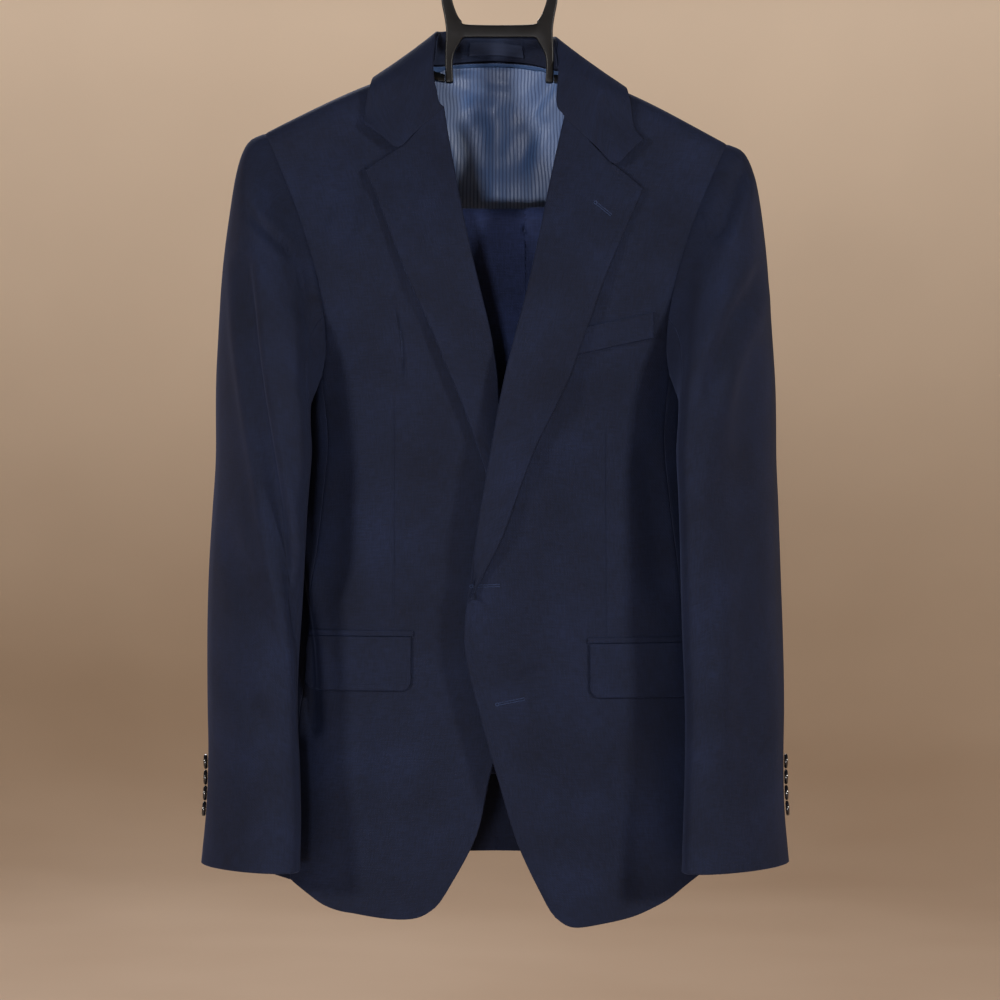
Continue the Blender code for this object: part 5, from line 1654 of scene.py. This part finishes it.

# %% [markdown]
# ## Camera, light and floor
# A long lens from a few metres away keeps the suit's lines upright. Two small softboxes light it from the
# sides, which draws the edges of lapels, flaps and fronts with narrow shadows, and a weaker one fills in from
# below. The floor curves up at its rim like a studio sweep, and its paint glows faintly, more so higher up, as
# painted light.

# %% Camera, light and floor
LENS, SENSOR = 100.97, 36.0
VIEWPOINT = (0.0005, -2.494, -0.5346)
MIDDLE = (0.0, 0.0, -0.5)
LIGHTS = (
    # name, place, what it looks at, size, watts, colour
    ("left softbox", (-2.3, -2.1, 0.1), MIDDLE, 0.4, 56, "#FFFBF6"),
    ("right softbox", (2.4, -2.1, 0.3), MIDDLE, 0.4, 64, "#FFFBF6"),
    ("low left softbox", (-0.5, -2.9, -1.0), (0.0, 0.0, -0.35), 0.3, 34, "#FBFBFF"),
    ("rear softbox", (-0.6, 2.9, 1.6), MIDDLE, 1.6, 60, "#F4F6FF"),
)
FLOOR_DROP, FLAT_RADIUS, SWEEP_RADIUS, FLOOR_TURNS = 0.45, 3.6, 2.4, 64

camera = bpy.data.cameras.new("camera")
camera.lens, camera.sensor_width = LENS, SENSOR
viewpoint = in_scene("camera", camera)
viewpoint.location = VIEWPOINT
viewpoint.rotation_euler = (math.radians(90), 0, 0)
bpy.context.scene.camera = viewpoint
for name, place, aim, size, watts, tint in LIGHTS:
    light = bpy.data.lights.new(name, "AREA")
    light.shape, light.size, light.energy, light.color = "SQUARE", size, watts, colour(tint)[:3]
    lamp = in_scene(name, light)
    lamp.location, lamp.visible_camera = place, False
    lamp.rotation_euler = (Vector(aim) - Vector(place)).to_track_quat("-Z", "Y").to_euler()
world = bpy.data.worlds.new("studio")
bpy.context.scene.world = world
world.use_nodes = True
wire(world.node_tree, world.node_tree.nodes["Background"], {"Color": colour("#DCE2F0"), "Strength": 0.06})
bpy.context.scene.view_settings.view_transform = "Standard"


def floor_paint_and_glow():
    """Warm pale paint that glows faintly, more so higher up: painted light, as if lit from above."""
    made, tree, shader = new_material("studio floor, warm pale paint, glowing", Roughness=0.85,
                                      Emission_Color=colour("#D9C8B4"))
    place = add(tree, "ShaderNodeTexCoord").outputs["Object"]
    cloud = add(tree, "ShaderNodeTexNoise", {"Vector": place, "Scale": 0.9, "Detail": 3.0})
    tone = add(tree, "ShaderNodeValToRGB", {"Fac": cloud}, ((0.3, "#B69D84"), (0.7, "#C6AF97")))
    height = add(tree, "ShaderNodeSeparateXYZ", {"Vector": place}).outputs["Z"]
    # Painted light: the floor glows though it is no lamp, from nothing low down to about half strength at its
    # top.
    painted_glow = add(tree, "ShaderNodeMapRange",
               {"Value": height, "From Min": -1.2, "From Max": 0.9, "To Min": 0.0, "To Max": 0.48})
    wire(tree, shader, {"Base Color": tone, "Emission Strength": painted_glow})
    return made


low = cad_box[0][2] - FLOOR_DROP
profile = [(2.0, low), (FLAT_RADIUS, low)]
profile += [(FLAT_RADIUS + SWEEP_RADIUS * math.sin(angle), low + SWEEP_RADIUS * (1 - math.cos(angle)))
            for angle in np.linspace(0.1, 1.45, 14)]
profile.append((6.1, low + 5.0))
points = [point for radius, z in profile for point in level_ring(radius, z, FLOOR_TURNS)]
faces = [tuple(range(FLOOR_TURNS))] + [face[::-1] for face in band_faces(len(profile), FLOOR_TURNS)]
mesh = bpy.data.meshes.new("floor")
mesh.from_pydata(points, [], faces)
mesh.materials.append(floor_paint_and_glow())
mesh.shade_smooth()
floor = in_scene("floor", mesh)
print(len(LIGHTS), "lights, floor at", round(low, 3))
